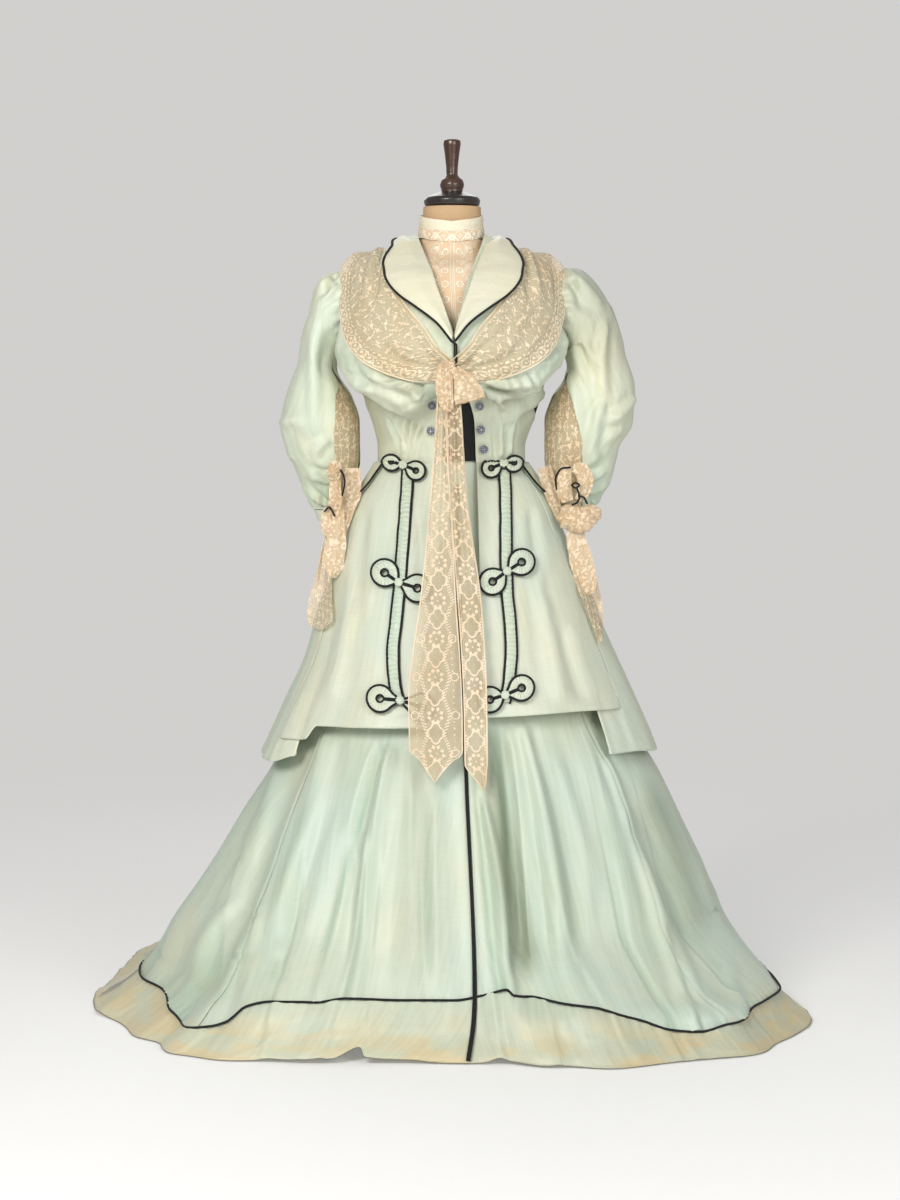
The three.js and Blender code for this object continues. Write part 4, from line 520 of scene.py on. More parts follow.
def fitted(angle, height):
    return ring_point(FITTED_RINGS, BODY_CORNER, angle, height)


def pouch_share(angle):
    return 1 - smooth(np.abs(angle), 66, 88)


def bodice(angle, height, reach=1.0):
    inner = fitted(angle, height)
    outer = ring_point(POUCH_RINGS, BODY_CORNER, angle, height)
    return mix(inner, outer, (pouch_share(angle) * reach)[..., None])


def sleeve_point(rows, side, angle, along):
    reach = column(rows, "along", "left" if side == LEFT else "right", along)
    cosine, sine = np.cos(np.radians(angle)), np.sin(np.radians(side * angle))
    out = np.where(cosine >= 0, reach, column(rows, "along", "in", along))
    depth = np.where(sine >= 0, column(rows, "along", "front", along), column(rows, "along", "back", along))
    turn = np.radians(column(rows, "along", "turn", along))
    x = side * (column(rows, "along", "x", along) + out * cosine * np.sin(turn))
    z = column(rows, "along", "z", along) + out * cosine * np.cos(turn)
    return np.stack([x, -depth * sine, z], -1)


def angle_at(rings, corner, x, height):
    """Angle on a ring for a point X across the front at a height."""
    half = by_side(rings, "height", height, np.asarray(x, float))
    return np.degrees(np.arcsin(power(np.clip(x / half, -1, 1), 1 / corner)))


# ---------------------------------------------------------------- folds, creases and crumples
def lattice(seed):
    return np.random.RandomState(seed).rand(64, 64)


def noise(x, y, seed):
    """Smooth noise from 0 to 1, with one bump for each unit of x and y."""
    values = lattice(seed)
    i, j = np.floor(x).astype(int), np.floor(y).astype(int)
    u, v = x - i, y - j
    u, v = u * u * u * (u * (6 * u - 15) + 10), v * v * v * (v * (6 * v - 15) + 10)
    i0, i1, j0, j1 = i % 64, (i + 1) % 64, j % 64, (j + 1) % 64
    return mix(mix(values[i0, j0], values[i1, j0], u), mix(values[i0, j1], values[i1, j1], u), v)


def layered(x, y, seed, octaves=3):
    total, share = 0, 0.5
    for k in range(octaves):
        total = total + share * noise(x * 2 ** k + 7.3 * k, y * 2 ** k + 3.1 * k, seed + k)
        share /= 2
    return total / (1 - 0.5 ** octaves)


def crumple(x, y, seed):
    """Crisp ridges between flatter facets, as taffeta takes, about 0 with a reach of 1."""
    warp_x = x + 0.6 * noise(x * 0.7, y * 0.7, seed + 11)
    warp_y = y + 0.6 * noise(x * 0.7, y * 0.7, seed + 12)
    ridges = 1 - np.abs(2 * noise(warp_x, warp_y, seed) - 1)
    fine = 1 - np.abs(2 * noise(warp_x * 2.3, warp_y * 2.3, seed + 5) - 1)
    return 1.4 * ridges ** 2 + 0.5 * fine ** 2 - 0.9


def creases(a, b, rows):
    """Sum of listed creases in the plane of a and b. Each row is start a and b, end a and b,
    bow to the left of that line, half width, depth (a ridge is positive) and the share of the
    length at which each end fades."""
    total = np.zeros(np.shape(a))
    for a0, b0, a1, b1, bow, width, depth, fade0, fade1 in rows:
        length = math.hypot(a1 - a0, b1 - b0)
        ux, uy = (a1 - a0) / length, (b1 - b0) / length
        t = ((a - a0) * ux + (b - b0) * uy) / length
        away = (b - b0) * ux - (a - a0) * uy - bow * 4 * t * (1 - t)
        ends = smooth(t, -0.02, max(fade0, 0.01)) * (1 - smooth(t, 1 - max(fade1, 0.01), 1.02))
        spread = width * (0.75 + 0.5 * np.clip(t, 0, 1))
        beside = (np.abs(away) - 1.9 * spread) / spread
        side = np.exp(-((away / spread) ** 2)) - 0.45 * np.exp(-(beside ** 2))
        total += depth * ends * side
    return total


# ---------------------------------------------------------------- meshes from grids
def unit(vectors):
    return vectors / np.maximum(np.linalg.norm(vectors, axis=-1, keepdims=True), 1e-9)


def grid_normals(points):
    across = np.gradient(points, axis=1)
    along = np.gradient(points, axis=0)
    return unit(np.cross(across, along))


def grid_quads(rows, columns, closed=False, first=0):
    i = np.arange(columns if closed else columns - 1)
    j = np.arange(rows - 1)
    i, j = np.meshgrid(i, j)
    nxt = (i + 1) % columns
    quads = np.stack([j * columns + i, j * columns + nxt, (j + 1) * columns + nxt, (j + 1) * columns + i], -1)
    return quads.reshape(-1, 4) + first


def make_mesh(name, verts, quads, uv=None, values=None, sharp=None):
    """A mesh object from vertices in millimetres and quads, with float attributes by vertex."""
    mesh = bpy.data.meshes.new(name)
    quads = np.asarray(quads, np.int32)
    mesh.vertices.add(len(verts))
    mesh.vertices.foreach_set("co", (np.asarray(verts, float) * MM).ravel())
    mesh.loops.add(quads.size)
    mesh.loops.foreach_set("vertex_index", quads.ravel())
    mesh.polygons.add(len(quads))
    mesh.polygons.foreach_set("loop_start", np.arange(0, quads.size, 4, dtype=np.int32))
    mesh.polygons.foreach_set("loop_total", np.full(len(quads), 4, np.int32))
    mesh.polygons.foreach_set("use_smooth", np.ones(len(quads), bool))
    if uv is not None:
        layer = mesh.uv_layers.new(name="cloth")
        layer.data.foreach_set("uv", (np.asarray(uv, float) * MM)[quads.ravel()].ravel())
    for key, value in (values or {}).items():
        layer = mesh.attributes.new(key, "FLOAT", "POINT")
        layer.data.foreach_set("value", np.asarray(value, np.float32).ravel())
    mesh.update()
    mesh.validate()
    if sharp:
        mesh.set_sharp_from_angle(angle=math.radians(sharp))
    piece = bpy.data.objects.new(name, mesh)
    bpy.context.scene.collection.objects.link(piece)
    return piece


def arc_lengths(points):
    """Distances in millimetres along a grid's rows and columns, as its flat cloth's own U and V."""
    across = np.linalg.norm(np.diff(points, axis=1), axis=-1)
    along = np.linalg.norm(np.diff(points, axis=0), axis=-1)
    u = np.concatenate([np.zeros((points.shape[0], 1)), np.cumsum(across, 1)], 1)
    v = np.concatenate([np.zeros((1, points.shape[1])), np.cumsum(along, 0)], 0)
    return u - u[:, u.shape[1] // 2][:, None], v


def turned_edges(points, normals, uv, values, turned):
    """Adds rows behind the named edges, where the cloth's hem is turned up inside."""

    def behind(edge, nxt, normal):
        inward = unit(nxt - edge)
        return [edge - normal * HEM_WALL + inward * HEM_TURN, edge - normal * HEM_WALL, edge]

    for side in turned:
        axis = 0 if side in ("low", "high") else 1
        swap = (lambda g: g) if axis == 0 else (lambda g: np.swapaxes(g, 0, 1))
        flip = (lambda g: g) if side in ("low", "left") else (lambda g: g[::-1])
        p, n, w = flip(swap(points)), flip(swap(normals)), flip(swap(uv))
        rows = behind(p[0], p[1], n[0])
        keep = [flip(swap(v)) for v in values.values()]
        p = np.concatenate([np.array(rows[:2]), p])
        n = np.concatenate([n[:1], n[:1], n])
        w = np.concatenate([w[:1], w[:1], w])
        keep = [np.concatenate([v[:1], v[:1], v]) for v in keep]
        points, normals, uv = swap(flip(p)), swap(flip(n)), swap(flip(w))
        values = dict(zip(values, [swap(flip(v)) for v in keep]))
    return points, uv, values


def cloth(name, surface, place, columns, rows, lift=0.0, relief=None, colours=None, turned=(),
          closed=False, centre=(0, 0)):
    """A sheet on a surface: place(s, t) gives the surface's two coordinates, relief(points, s, t,
    u, v) how far it stands off along its normal, and colours the same as named attributes. The
    normal points away from the centre, which is a place in X and Y or each row's own middle."""
    s, t = np.meshgrid(np.linspace(0, 1, columns + 1), np.linspace(0, 1, rows + 1))
    points = surface(*place(s, t))
    u, v = arc_lengths(points)
    middle = points.mean(1, keepdims=True) if centre == "rows" else np.array([*centre, 0])
    outward = (points - middle) * (1 if centre == "rows" else np.array([1, 1, 0]))
    normals = grid_normals(points)
    normals = normals * np.sign((normals * outward).sum())
    off = lift + (relief(points, s, t, u, v) if relief else 0)
    points = points + normals * (off[..., None] if np.ndim(off) else off)
    values = {key: np.broadcast_to(f(points, s, t, u, v), s.shape) for key, f in (colours or {}).items()}
    if closed:
        points[:, -1] = points[:, 0]
    uv = np.stack([u, v], -1)
    points, uv, values = turned_edges(points, normals, uv, values, turned)
    shape = points.shape
    return make_mesh(name, points.reshape(-1, 3), grid_quads(shape[0], shape[1]),
                     uv.reshape(-1, 2), values), points


def tube_arrays(line, radius, sides=8, closed=False, up=(0, 0, 1)):
    """Vertices and quads of a round cord along a line, its ends drawn in."""
    line = np.asarray(line, float)
    if not closed:
        ends = unit(np.array([line[1] - line[0], line[-1] - line[-2]]))
        line = np.concatenate([line[:1] - ends[:1] * radius * 0.3, line, line[-1:] + ends[1:] * radius * 0.3])
    ahead = np.roll(line, -1, 0) - np.roll(line, 1, 0)
    if not closed:
        ahead[0], ahead[-1] = line[1] - line[0], line[-1] - line[-2]
    ahead = unit(ahead)
    side = unit(np.cross(ahead, np.asarray(up, float) + 1e-3))
    other = np.cross(side, ahead)
    turn = np.linspace(0, 2 * math.pi, sides, endpoint=False)
    size = np.full(len(line), float(radius)) if np.ndim(radius) == 0 else np.asarray(radius)
    if not closed:
        size = size.copy()
        size[0] = size[-1] = size[1] * 0.35
    verts = line[:, None] + size[:, None, None] * (
        np.cos(turn)[None, :, None] * side[:, None] + np.sin(turn)[None, :, None] * other[:, None])
    quads = grid_quads(len(line), sides, closed=True)
    if closed:
        last = (len(line) - 1) * sides
        i = np.arange(sides)
        quads = np.concatenate([quads, np.stack([last + i, last + (i + 1) % sides, (i + 1) % sides, i], -1)])
    return verts.reshape(-1, 3), quads


def joined(name, parts, values=None):
    """One mesh from many (vertices, quads) arrays."""
    verts, quads, first = [], [], 0
    for part_verts, part_quads in parts:
        verts.append(part_verts)
        quads.append(np.asarray(part_quads) + first)
        first += len(part_verts)
    return make_mesh(name, np.concatenate(verts), np.concatenate(quads), values=values)


def resample(line, step):
    """The same line with points a step apart."""
    line = np.asarray(line, float)
    lengths = np.concatenate([[0], np.cumsum(np.linalg.norm(np.diff(line, axis=0), axis=1))])
    count = max(int(round(lengths[-1] / step)), 2)
    at = np.linspace(0, lengths[-1], count + 1)
    return np.stack([np.interp(at, lengths, line[:, k]) for k in range(line.shape[1])], -1)


def piece_of(piece, material, slot, *nodes):
    """Gives a piece its material, attaches it to the root and hides the CAD nodes it stands for; the slot is
    not used.
    """
    piece.data.materials.append(material)
    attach(piece, "root")
    if nodes:
        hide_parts(*nodes)
    return piece


# ---------------------------------------------------------------- materials
def new_material(name):
    made = bpy.data.materials.new(name)
    made.use_nodes = True
    return made, made.node_tree, made.node_tree.nodes["Principled BSDF"]


def add_node(tree, kind, inputs=None, **settings):
    made = tree.nodes.new("ShaderNode" + kind)
    for key, value in settings.items():
        setattr(made, key, value)
    for key, value in (inputs or {}).items():
        if isinstance(value, bpy.types.NodeSocket):
            tree.links.new(value, made.inputs[key])
        else:
            made.inputs[key].default_value = value
    return made


def blend_colour(tree, share, a, b, mode="MIX"):
    made = add_node(tree, "Mix", data_type="RGBA", blend_type=mode)
    for index, value in ((0, share), (6, a), (7, b)):
        if isinstance(value, bpy.types.NodeSocket):
            tree.links.new(value, made.inputs[index])
        else:
            made.inputs[index].default_value = value
    return made.outputs[2]


def steps(tree, value, low, high, to_low=0.0, to_high=1.0):
    made = add_node(tree, "MapRange", {"Value": value, "From Min": low, "From Max": high,
                                       "To Min": to_low, "To Max": to_high}, interpolation_type="SMOOTHSTEP")
    return made.outputs[0]


def maths(tree, kind, a, b=0.0):
    return add_node(tree, "Math", {0: a, 1: b}, operation=kind).outputs[0]


def object_place(tree, scale=(1, 1, 1)):
    place = add_node(tree, "TexCoord").outputs["Object"]
    return add_node(tree, "Mapping", {"Vector": place, "Scale": scale}).outputs[0]


def cloth_place(tree, scale=(1, 1, 1)):
    place = add_node(tree, "UVMap", uv_map="cloth").outputs[0]
    return add_node(tree, "Mapping", {"Vector": place, "Scale": scale}).outputs[0]


def noise_node(tree, place, scale, detail=3.0, rough=0.55):
    inputs = {"Vector": place, "Scale": scale, "Detail": detail, "Roughness": rough}
    return add_node(tree, "TexNoise", inputs).outputs["Fac"]


def attribute(tree, name):
    return add_node(tree, "Attribute", attribute_name=name).outputs["Fac"]


def bump(tree, height, strength, distance, under=None):
    inputs = {"Height": height, "Strength": strength, "Distance": distance}
    if under is not None:
        inputs["Normal"] = under
    return add_node(tree, "Bump", inputs).outputs[0]


def colour(red, green, blue):
    return (red, green, blue, 1.0)


def taffeta(name, base, cool, warm, crisp=0.25):
    """Mint silk taffeta: fine crosswise rib, slubs, age tints, painted shade in the folds, painted sheen in
    soft streaks and a soft two-tone sheen.
    """
    made, tree, shader = new_material(name)
    patches = steps(tree, noise_node(tree, object_place(tree, (1, 1, 0.5)), 5.5, 4), 0.42, 0.66)
    tints = steps(tree, noise_node(tree, object_place(tree, (1.0, 1.3, 0.45)), 8.3, 4), 0.46, 0.70)
    streaks = noise_node(tree, cloth_place(tree, (160, 7, 1)), 1.0, 3)
    slubs = noise_node(tree, cloth_place(tree, (30, 700, 1)), 1.0, 2)
    tone = blend_colour(tree, maths(tree, "MULTIPLY", patches, 0.55), base, cool)
    tone = blend_colour(tree, maths(tree, "MULTIPLY", tints, 0.5), tone, warm)
    # Painted shade: the cool attribute blends in deeper silk where folds and gathers lie in shade, and a
    # cooler tint in random patches.
    tone = blend_colour(tree, attribute(tree, "cool"), tone, SILK_COOL_AND_SHADE)
    tone = blend_colour(tree, attribute(tree, "stain"), tone, SILK_STAIN)
    # Painted shade: the shade attribute multiplies in a dull dark tone.
    tone = blend_colour(tree, attribute(tree, "shade"), tone, SILK_SHADE, "MULTIPLY")
    # Painted sheen: soft lighter streaks down the cloth, for the shimmer of the silk.
    painted_sheen = steps(tree, streaks, 0.35, 0.65, 0.0, 0.16)
    tone = blend_colour(tree, painted_sheen, tone, colour(1, 1, 0.97), "SOFT_LIGHT")
    slubby = steps(tree, slubs, 0.3, 0.7, 0.14, 0.0)
    tone = blend_colour(tree, slubby, tone, colour(0.62, 0.66, 0.55), "MULTIPLY")
    tree.links.new(tone, shader.inputs["Base Color"])
    rib = add_node(tree, "TexWave",
                   {"Vector": cloth_place(tree, (1, 1, 1)), "Scale": 280.0, "Distortion": 1.2,
                                     "Detail": 1.0, "Detail Scale": 2.0}, bands_direction="Y").outputs["Fac"]
    fine = noise_node(tree, object_place(tree, (1, 1, 0.6)), 62, 4, 0.6)
    soft = noise_node(tree, object_place(tree, (1, 1, 0.45)), 19, 3, 0.5)
    ridge = maths(tree, "ABSOLUTE", maths(tree, "SUBTRACT", fine, 0.5))
    normal = bump(tree, soft, crisp, 0.012)
    normal = bump(tree, ridge, crisp * 0.7, 0.0035, normal)
    normal = bump(tree, maths(tree, "ADD", rib, slubs), 0.12, 0.0003, normal)
    tree.links.new(normal, shader.inputs["Normal"])
    tree.links.new(steps(tree, streaks, 0.3, 0.7, 0.36, 0.5), shader.inputs["Roughness"])
    shader.inputs["Specular IOR Level"].default_value = 0.42
    shader.inputs["Sheen Weight"].default_value = 0.22
    shader.inputs["Sheen Roughness"].default_value = 0.35
    shader.inputs["Sheen Tint"].default_value = colour(0.95, 1.0, 0.9)
    return made


def lace_material(name, ground, thread, open_share):
    """Ecru net: see-through ground with a fine mesh, and the woven motif close and raised."""
    made, tree, shader = new_material(name)
    mesh = add_node(tree, "TexVoronoi", {"Vector": cloth_place(tree), "Scale": 620.0, "Randomness": 0.35},
                    feature="DISTANCE_TO_EDGE").outputs["Distance"]
    net = steps(tree, mesh, 0.05, 0.16, 1.0, open_share)
    motif = steps(tree, attribute(tree, "motif"), 0.25, 0.75)
    fuzz = noise_node(tree, cloth_place(tree, (900, 900, 1)), 1.0, 2)
    worn = noise_node(tree, object_place(tree), 14, 3)
    tone = blend_colour(tree, motif, ground, thread)
    tone = blend_colour(tree, steps(tree, worn, 0.4, 0.7, 0.0, 0.45), tone, LACE_AGED, "MULTIPLY")
    fuzzy = steps(tree, fuzz, 0.3, 0.7, 0.25, 0.0)
    tone = blend_colour(tree, fuzzy, tone, colour(0.5, 0.4, 0.28), "MULTIPLY")
    tree.links.new(tone, shader.inputs["Base Color"])
    cover = maths(tree, "MAXIMUM", net, motif)
    tree.links.new(cover, shader.inputs["Alpha"])
    normal = bump(tree, motif, 0.6, 0.0012)
    normal = bump(tree, maths(tree, "ADD", fuzz, net), 0.3, 0.0004, normal)
    tree.links.new(normal, shader.inputs["Normal"])
    shader.inputs["Roughness"].default_value = 0.8
    shader.inputs["Sheen Weight"].default_value = 0.15
    shader.inputs["Specular IOR Level"].default_value = 0.25
    return made


def plain_cloth(name, tone, other, scale, rough, sheen, depth):
    """Velvet, linen or ribbon: a fine woven or piled ground in two close tones."""
    made, tree, shader = new_material(name)
    grain = noise_node(tree, object_place(tree), scale, 4, 0.65)
    weave = add_node(tree, "TexWave", {"Vector": object_place(tree), "Scale": scale * 1.7, "Distortion": 2.0},
                     bands_direction="Z").outputs["Fac"]
    across = add_node(tree, "TexWave",
                      {"Vector": object_place(tree), "Scale": scale * 1.7, "Distortion": 2.0},
                      bands_direction="X").outputs["Fac"]
    tree.links.new(blend_colour(tree, steps(tree, grain, 0.3, 0.7), tone, other), shader.inputs["Base Color"])
    normal = bump(tree, maths(tree, "ADD", weave, across), depth, 0.0006)
    tree.links.new(bump(tree, grain, depth, 0.001, normal), shader.inputs["Normal"])
    shader.inputs["Roughness"].default_value = rough
    shader.inputs["Sheen Weight"].default_value = sheen
    shader.inputs["Sheen Roughness"].default_value = 0.4
    return made


def turned_wood(name, tone, other, rough):
    made, tree, shader = new_material(name)
    grain = noise_node(tree, object_place(tree, (60, 60, 6)), 1.0, 5, 0.6)
    mixed = blend_colour(tree, steps(tree, grain, 0.35, 0.65), tone, other)
    tree.links.new(mixed, shader.inputs["Base Color"])
    tree.links.new(bump(tree, grain, 0.15, 0.0008), shader.inputs["Normal"])
    shader.inputs["Roughness"].default_value = rough
    shader.inputs["Coat Weight"].default_value = 0.5
    shader.inputs["Coat Roughness"].default_value = 0.22
    return made


def metal(name, tone, other, rough, scale):
    made, tree, shader = new_material(name)
    spots = noise_node(tree, object_place(tree), scale, 4, 0.6)
    mixed = blend_colour(tree, steps(tree, spots, 0.35, 0.65), tone, other)
    tree.links.new(mixed, shader.inputs["Base Color"])
    tree.links.new(steps(tree, spots, 0.3, 0.7, rough, rough + 0.2), shader.inputs["Roughness"])
    tree.links.new(bump(tree, spots, 0.1, 0.0005), shader.inputs["Normal"])
    shader.inputs["Metallic"].default_value = 1.0
    return made


# Deeper silk for the painted shade in folds and gathers, and for cooler patches.
SILK_COOL_AND_SHADE = colour(0.40, 0.52, 0.40)
SILK_STAIN = colour(0.66, 0.55, 0.33)
# Multiplied in where shade is painted.
SILK_SHADE = colour(0.52, 0.50, 0.44)
LACE_AGED = colour(0.90, 0.76, 0.60)

SILK = taffeta("mint_taffeta", colour(0.66, 0.68, 0.53), colour(0.56, 0.66, 0.56), colour(0.71, 0.68, 0.45),
               crisp=0.34)
# The same silk drawn darker and greener for the skirt: painted shade for the lower light that falls on it.
SILK_SKIRT_SHADED = taffeta("mint_taffeta_skirt", colour(0.55, 0.61, 0.495), colour(0.49, 0.61, 0.54),
                     colour(0.62, 0.62, 0.45), crisp=0.14)
SILK_JACKET = taffeta("mint_taffeta_jacket", colour(0.64, 0.67, 0.54), colour(0.56, 0.66, 0.58),
                      colour(0.70, 0.69, 0.50), crisp=0.14)
SILK_TRIM = taffeta("mint_taffeta_trim", colour(0.60, 0.64, 0.51), colour(0.54, 0.63, 0.54),
                    colour(0.66, 0.66, 0.48), crisp=0.3)
SILK_PALE = taffeta("pale_taffeta_collar", colour(0.73, 0.69, 0.52), colour(0.68, 0.68, 0.54),
                    colour(0.79, 0.73, 0.50), crisp=0.1)
LACE = lace_material("ecru_lace", colour(0.78, 0.655, 0.45), colour(0.93, 0.80, 0.60), 0.36)
LACE_DENSE = lace_material("ecru_lace_lined", colour(0.95, 0.73, 0.50), colour(1.0, 0.92, 0.76), 0.80)
LACE_TAIL = lace_material("ecru_lace_tails", colour(0.67, 0.56, 0.38), colour(0.84, 0.71, 0.53), 0.42)
LACE_GORE = lace_material("ecru_lace_sleeve", colour(0.68, 0.55, 0.36), colour(0.84, 0.71, 0.51), 0.66)
LACE_TRIM = lace_material("ecru_lace_bow", colour(0.72, 0.55, 0.36), colour(0.86, 0.72, 0.54), 0.85)
VELVET = plain_cloth("black_velvet", colour(0.006, 0.006, 0.007), colour(0.012, 0.012, 0.013),
                     500, 0.9, 0.03, 0.4)
LINEN = plain_cloth("form_linen", colour(0.61, 0.41, 0.23), colour(0.54, 0.36, 0.20), 420, 0.9, 0.1, 0.3)
IVORY = plain_cloth("ivory_silk", colour(0.86, 0.79, 0.62), colour(0.80, 0.71, 0.53), 300, 0.7, 0.2, 0.15)
BRAID = plain_cloth("hem_braid", colour(0.10, 0.09, 0.08), colour(0.30, 0.27, 0.22), 600, 0.95, 0.1, 0.4)
WOOD = turned_wood("dark_wood", colour(0.045, 0.018, 0.010), colour(0.085, 0.038, 0.022), 0.3)
WOOD_BLACK = turned_wood("black_wood", colour(0.014, 0.010, 0.009), colour(0.026, 0.018, 0.015), 0.32)
IRON = metal("stand_iron", colour(0.04, 0.035, 0.03), colour(0.07, 0.06, 0.05), 0.4, 30)
STEEL = metal("cut_steel", colour(0.86, 0.88, 0.95), colour(0.62, 0.64, 0.72), 0.2, 900)
NAVY = plain_cloth("navy_enamel", colour(0.030, 0.036, 0.070), colour(0.05, 0.06, 0.10), 700, 0.4, 0.0, 0.1)


# ---------------------------------------------------------------- dress form
def on_surface(surface, angle, height, lift):
    """Points on a surface at matched angles and heights, lifted along its normal."""
    angle, height = np.broadcast_arrays(np.asarray(angle, float), np.asarray(height, float))
    step = 0.3
    across = surface(angle + step, height) - surface(angle - step, height)
    along = surface(angle, height + step) - surface(angle, height - step)
    normal = unit(np.cross(across, along))
    return surface(angle, height) + normal * (np.asarray(lift)[..., None] if np.ndim(lift) else lift)


def padded_form(name, surface, low, high, columns, rows):
    """A closed form between two levels, its ends drawn in flat."""
    angle, height = np.meshgrid(np.linspace(-180, 180, columns, endpoint=False), np.linspace(low, high, rows))
    points = surface(angle, height)
    foot = [points[0] * np.array([share, share, 1]) for share in (0.02, 0.5, 0.95)]
    top = [points[-1] * np.array([share, share, 1]) for share in (0.95, 0.5, 0.02)]
    points = np.concatenate([np.array(foot), points, np.array(top)])
    quads = grid_quads(points.shape[0], columns, closed=True)
    return make_mesh(name, points.reshape(-1, 3), quads, sharp=50)


def lathe(name, profile, segments, step=1.5):
    line = resample(profile, step)
    turn = np.linspace(0, 2 * math.pi, segments, endpoint=False)
    radius = np.maximum(line[:, 0], 0.05)[:, None]
    points = np.stack([radius * np.cos(turn), radius * np.sin(turn), line[:, 1][:, None] + 0 * turn], -1)
    return make_mesh(name, points.reshape(-1, 3), grid_quads(len(line), segments, closed=True), sharp=38)


def dress_form():
    piece_of(padded_form("linen_form", torso, 785, 1421, 80, 90), LINEN, "linen", "form_torso")
    piece_of(lathe("turned_cap", CAP_PROFILE, 48), WOOD_BLACK, "wood", "form_finial")
    piece_of(lathe("turned_handle", HANDLE_PROFILE, 40), WOOD, "wood", "form_finial")
    pole = [(0, 48.5), (POLE_RADIUS, 48.5), (POLE_RADIUS, 784.5), (0, 784.5)]
    piece_of(lathe("stand_pole", pole, 32, 20), WOOD, "wood", "form_pole")
    piece_of(lathe("stand_foot", BASE_PROFILE, 72, 6), IRON, "iron", "form_base")


def angle_of(points):
    return np.degrees(np.arctan2(points[..., 0], -points[..., 1]))


# ---------------------------------------------------------------- skirt
def flounce_top(angle):
    return column(FLOUNCE_TOP, "angle", "height", angle)


def skirt_place(start, end, low, high):
    """Angle and height between two seam lines and two edges given as heights by angle."""
    def place(s, t):
        height = mix(60.0, SKIRT_TOP, t)
        for _ in range(3):
            gap = np.degrees(SEAM / 2 / column(SKIRT_RINGS, "height", "front", height))
            angle = mix(line_angle(start, height) + gap, line_angle(end, height) - gap, s)
            height = mix(low(angle), high(angle), t)
        return angle, height
    return place


def laps(folds, angle, height):
    """Folds lying over with a crisp edge: how far they stand off, and where they throw shade."""
    off, shade = np.zeros(angle.shape), np.zeros(angle.shape)
    for top, hem, width, depth, start, over in zip(*folds.values()):
        away = (angle - line_angle((top, hem), height) + 180) % 360 - 180
        share = smooth(start - height, 0, start - 100) * np.exp(-((away / width) ** 2))
        edge = np.tanh(over * away / 0.28)
        off += depth * share * (0.25 + 0.75 * edge)
        shade += 0.12 * depth * share * np.clip(-edge, 0, 1)
    return off, shade


def skirt_relief(points, s, t, u, v):
    """Finer folds, listed creases and the pull of the seams on a gore."""
    angle, height = angle_of(points), points[..., 2]
    low = smooth(720 - height, 0, 200)
    off = fold_push(SKIRT_FINE, angle, height, 60) + laps(SKIRT_LAPS, angle, height)[0]
    off = off + creases(points[..., 0], height, SKIRT_CREASES) * smooth(-points[..., 1], -60, 40)
    off = off + 2.4 * (layered(u / 60, v / 230, 3) - 0.5) * low
    off = off + 0.42 * crumple(u / 50, v / 100, 21) * low
    edge = np.minimum(s, 1 - s) * (u.max(1) - u.min(1))[:, None]
    off = off - 1.1 * np.exp(-((edge / 3.0) ** 2)) + 0.4 * np.exp(-(((edge - 8) / 4.0) ** 2))
    above = height - flounce_top(angle)
    off = off + 0.8 * np.sin(u / 3.2 + 3 * layered(u / 30, v / 30, 8)) * np.exp(-above / 10)
    return off * smooth(SKIRT_TOP - height, 0, 60)


def skirt_shade_and_tint(points, s, t, u, v):
    """Painted shade in the troughs of the folds, along the shade lines and beside the lapped edges, with
    cooler silk in random patches.
    """
    angle, height = angle_of(points), points[..., 2]
    depth = -fold_push(SKIRT_FOLDS, angle, height, 60) - 1.5 * fold_push(SKIRT_FINE, angle, height, 60)
    placed = np.clip(creases(points[..., 0], height, SKIRT_SHADES), 0, 1) * smooth(-points[..., 1], -60, 40)
    share = 0.4 * smooth(depth, 2, 18) + 0.15 * smooth(layered(u / 90, v / 260, 31), 0.5, 0.75)
    return np.clip(share + placed + laps(SKIRT_LAPS, angle, height)[1], 0, 0.9)


def skirt_shade(points, s, t, u, v):
    """Painted shade down the deep fold beside the front and across the left front."""
    placed = creases(points[..., 0], points[..., 2], SKIRT_DARKS)
    return np.clip(placed, 0, 1) * smooth(-points[..., 1], -60, 40)


def skirt_stain(points, s, t, u, v):
    return 0.3 * smooth(120 - points[..., 2], 0, 90) * smooth(layered(u / 120, v / 40, 40), 0.4, 0.7)


def flounce_relief(points, s, t, u, v):
    """Ripples where the hem lies on the floor, and gathers under the piping."""
    height = points[..., 2]
    low = 1 - np.clip(height / 90, 0, 1)
    off = 15 * (layered(u / 75, v / 150, 14) - 0.5) * low ** 0.8
    off = off + 0.7 * np.sin(u / 3.3 + 4 * layered(u / 34, v / 40, 9)) * np.exp(-(1 - t) * 7)
    off = off + 1.2 * crumple(u / 44, v / 48, 5) * (0.3 + 0.7 * low)
    off = off + laps(SKIRT_LAPS, angle_of(points), height)[0]
    return np.maximum(off, (2.2 - height) * 0.9)


# Painted shade: darker from the front round to the wearer's left, and most on the left side.
def flounce_shade(points, s, t, u, v):
    angle = angle_of(points)
    return 0.16 * smooth(angle, -26, -10) + 0.12 * smooth(angle, 12, 30)


def flounce_stain(points, s, t, u, v):
    low = 1 - np.clip(points[..., 2] / 88, 0, 1)
    patchy = smooth(layered(u / 85, v / 40, 17), 0.38, 0.62)
    train = smooth(np.abs(angle_of(points)), 26, 60)
    return np.clip(0.10 + (0.75 + 0.2 * train) * low * patchy + (0.25 + 0.35 * train) * low ** 2, 0, 0.9)


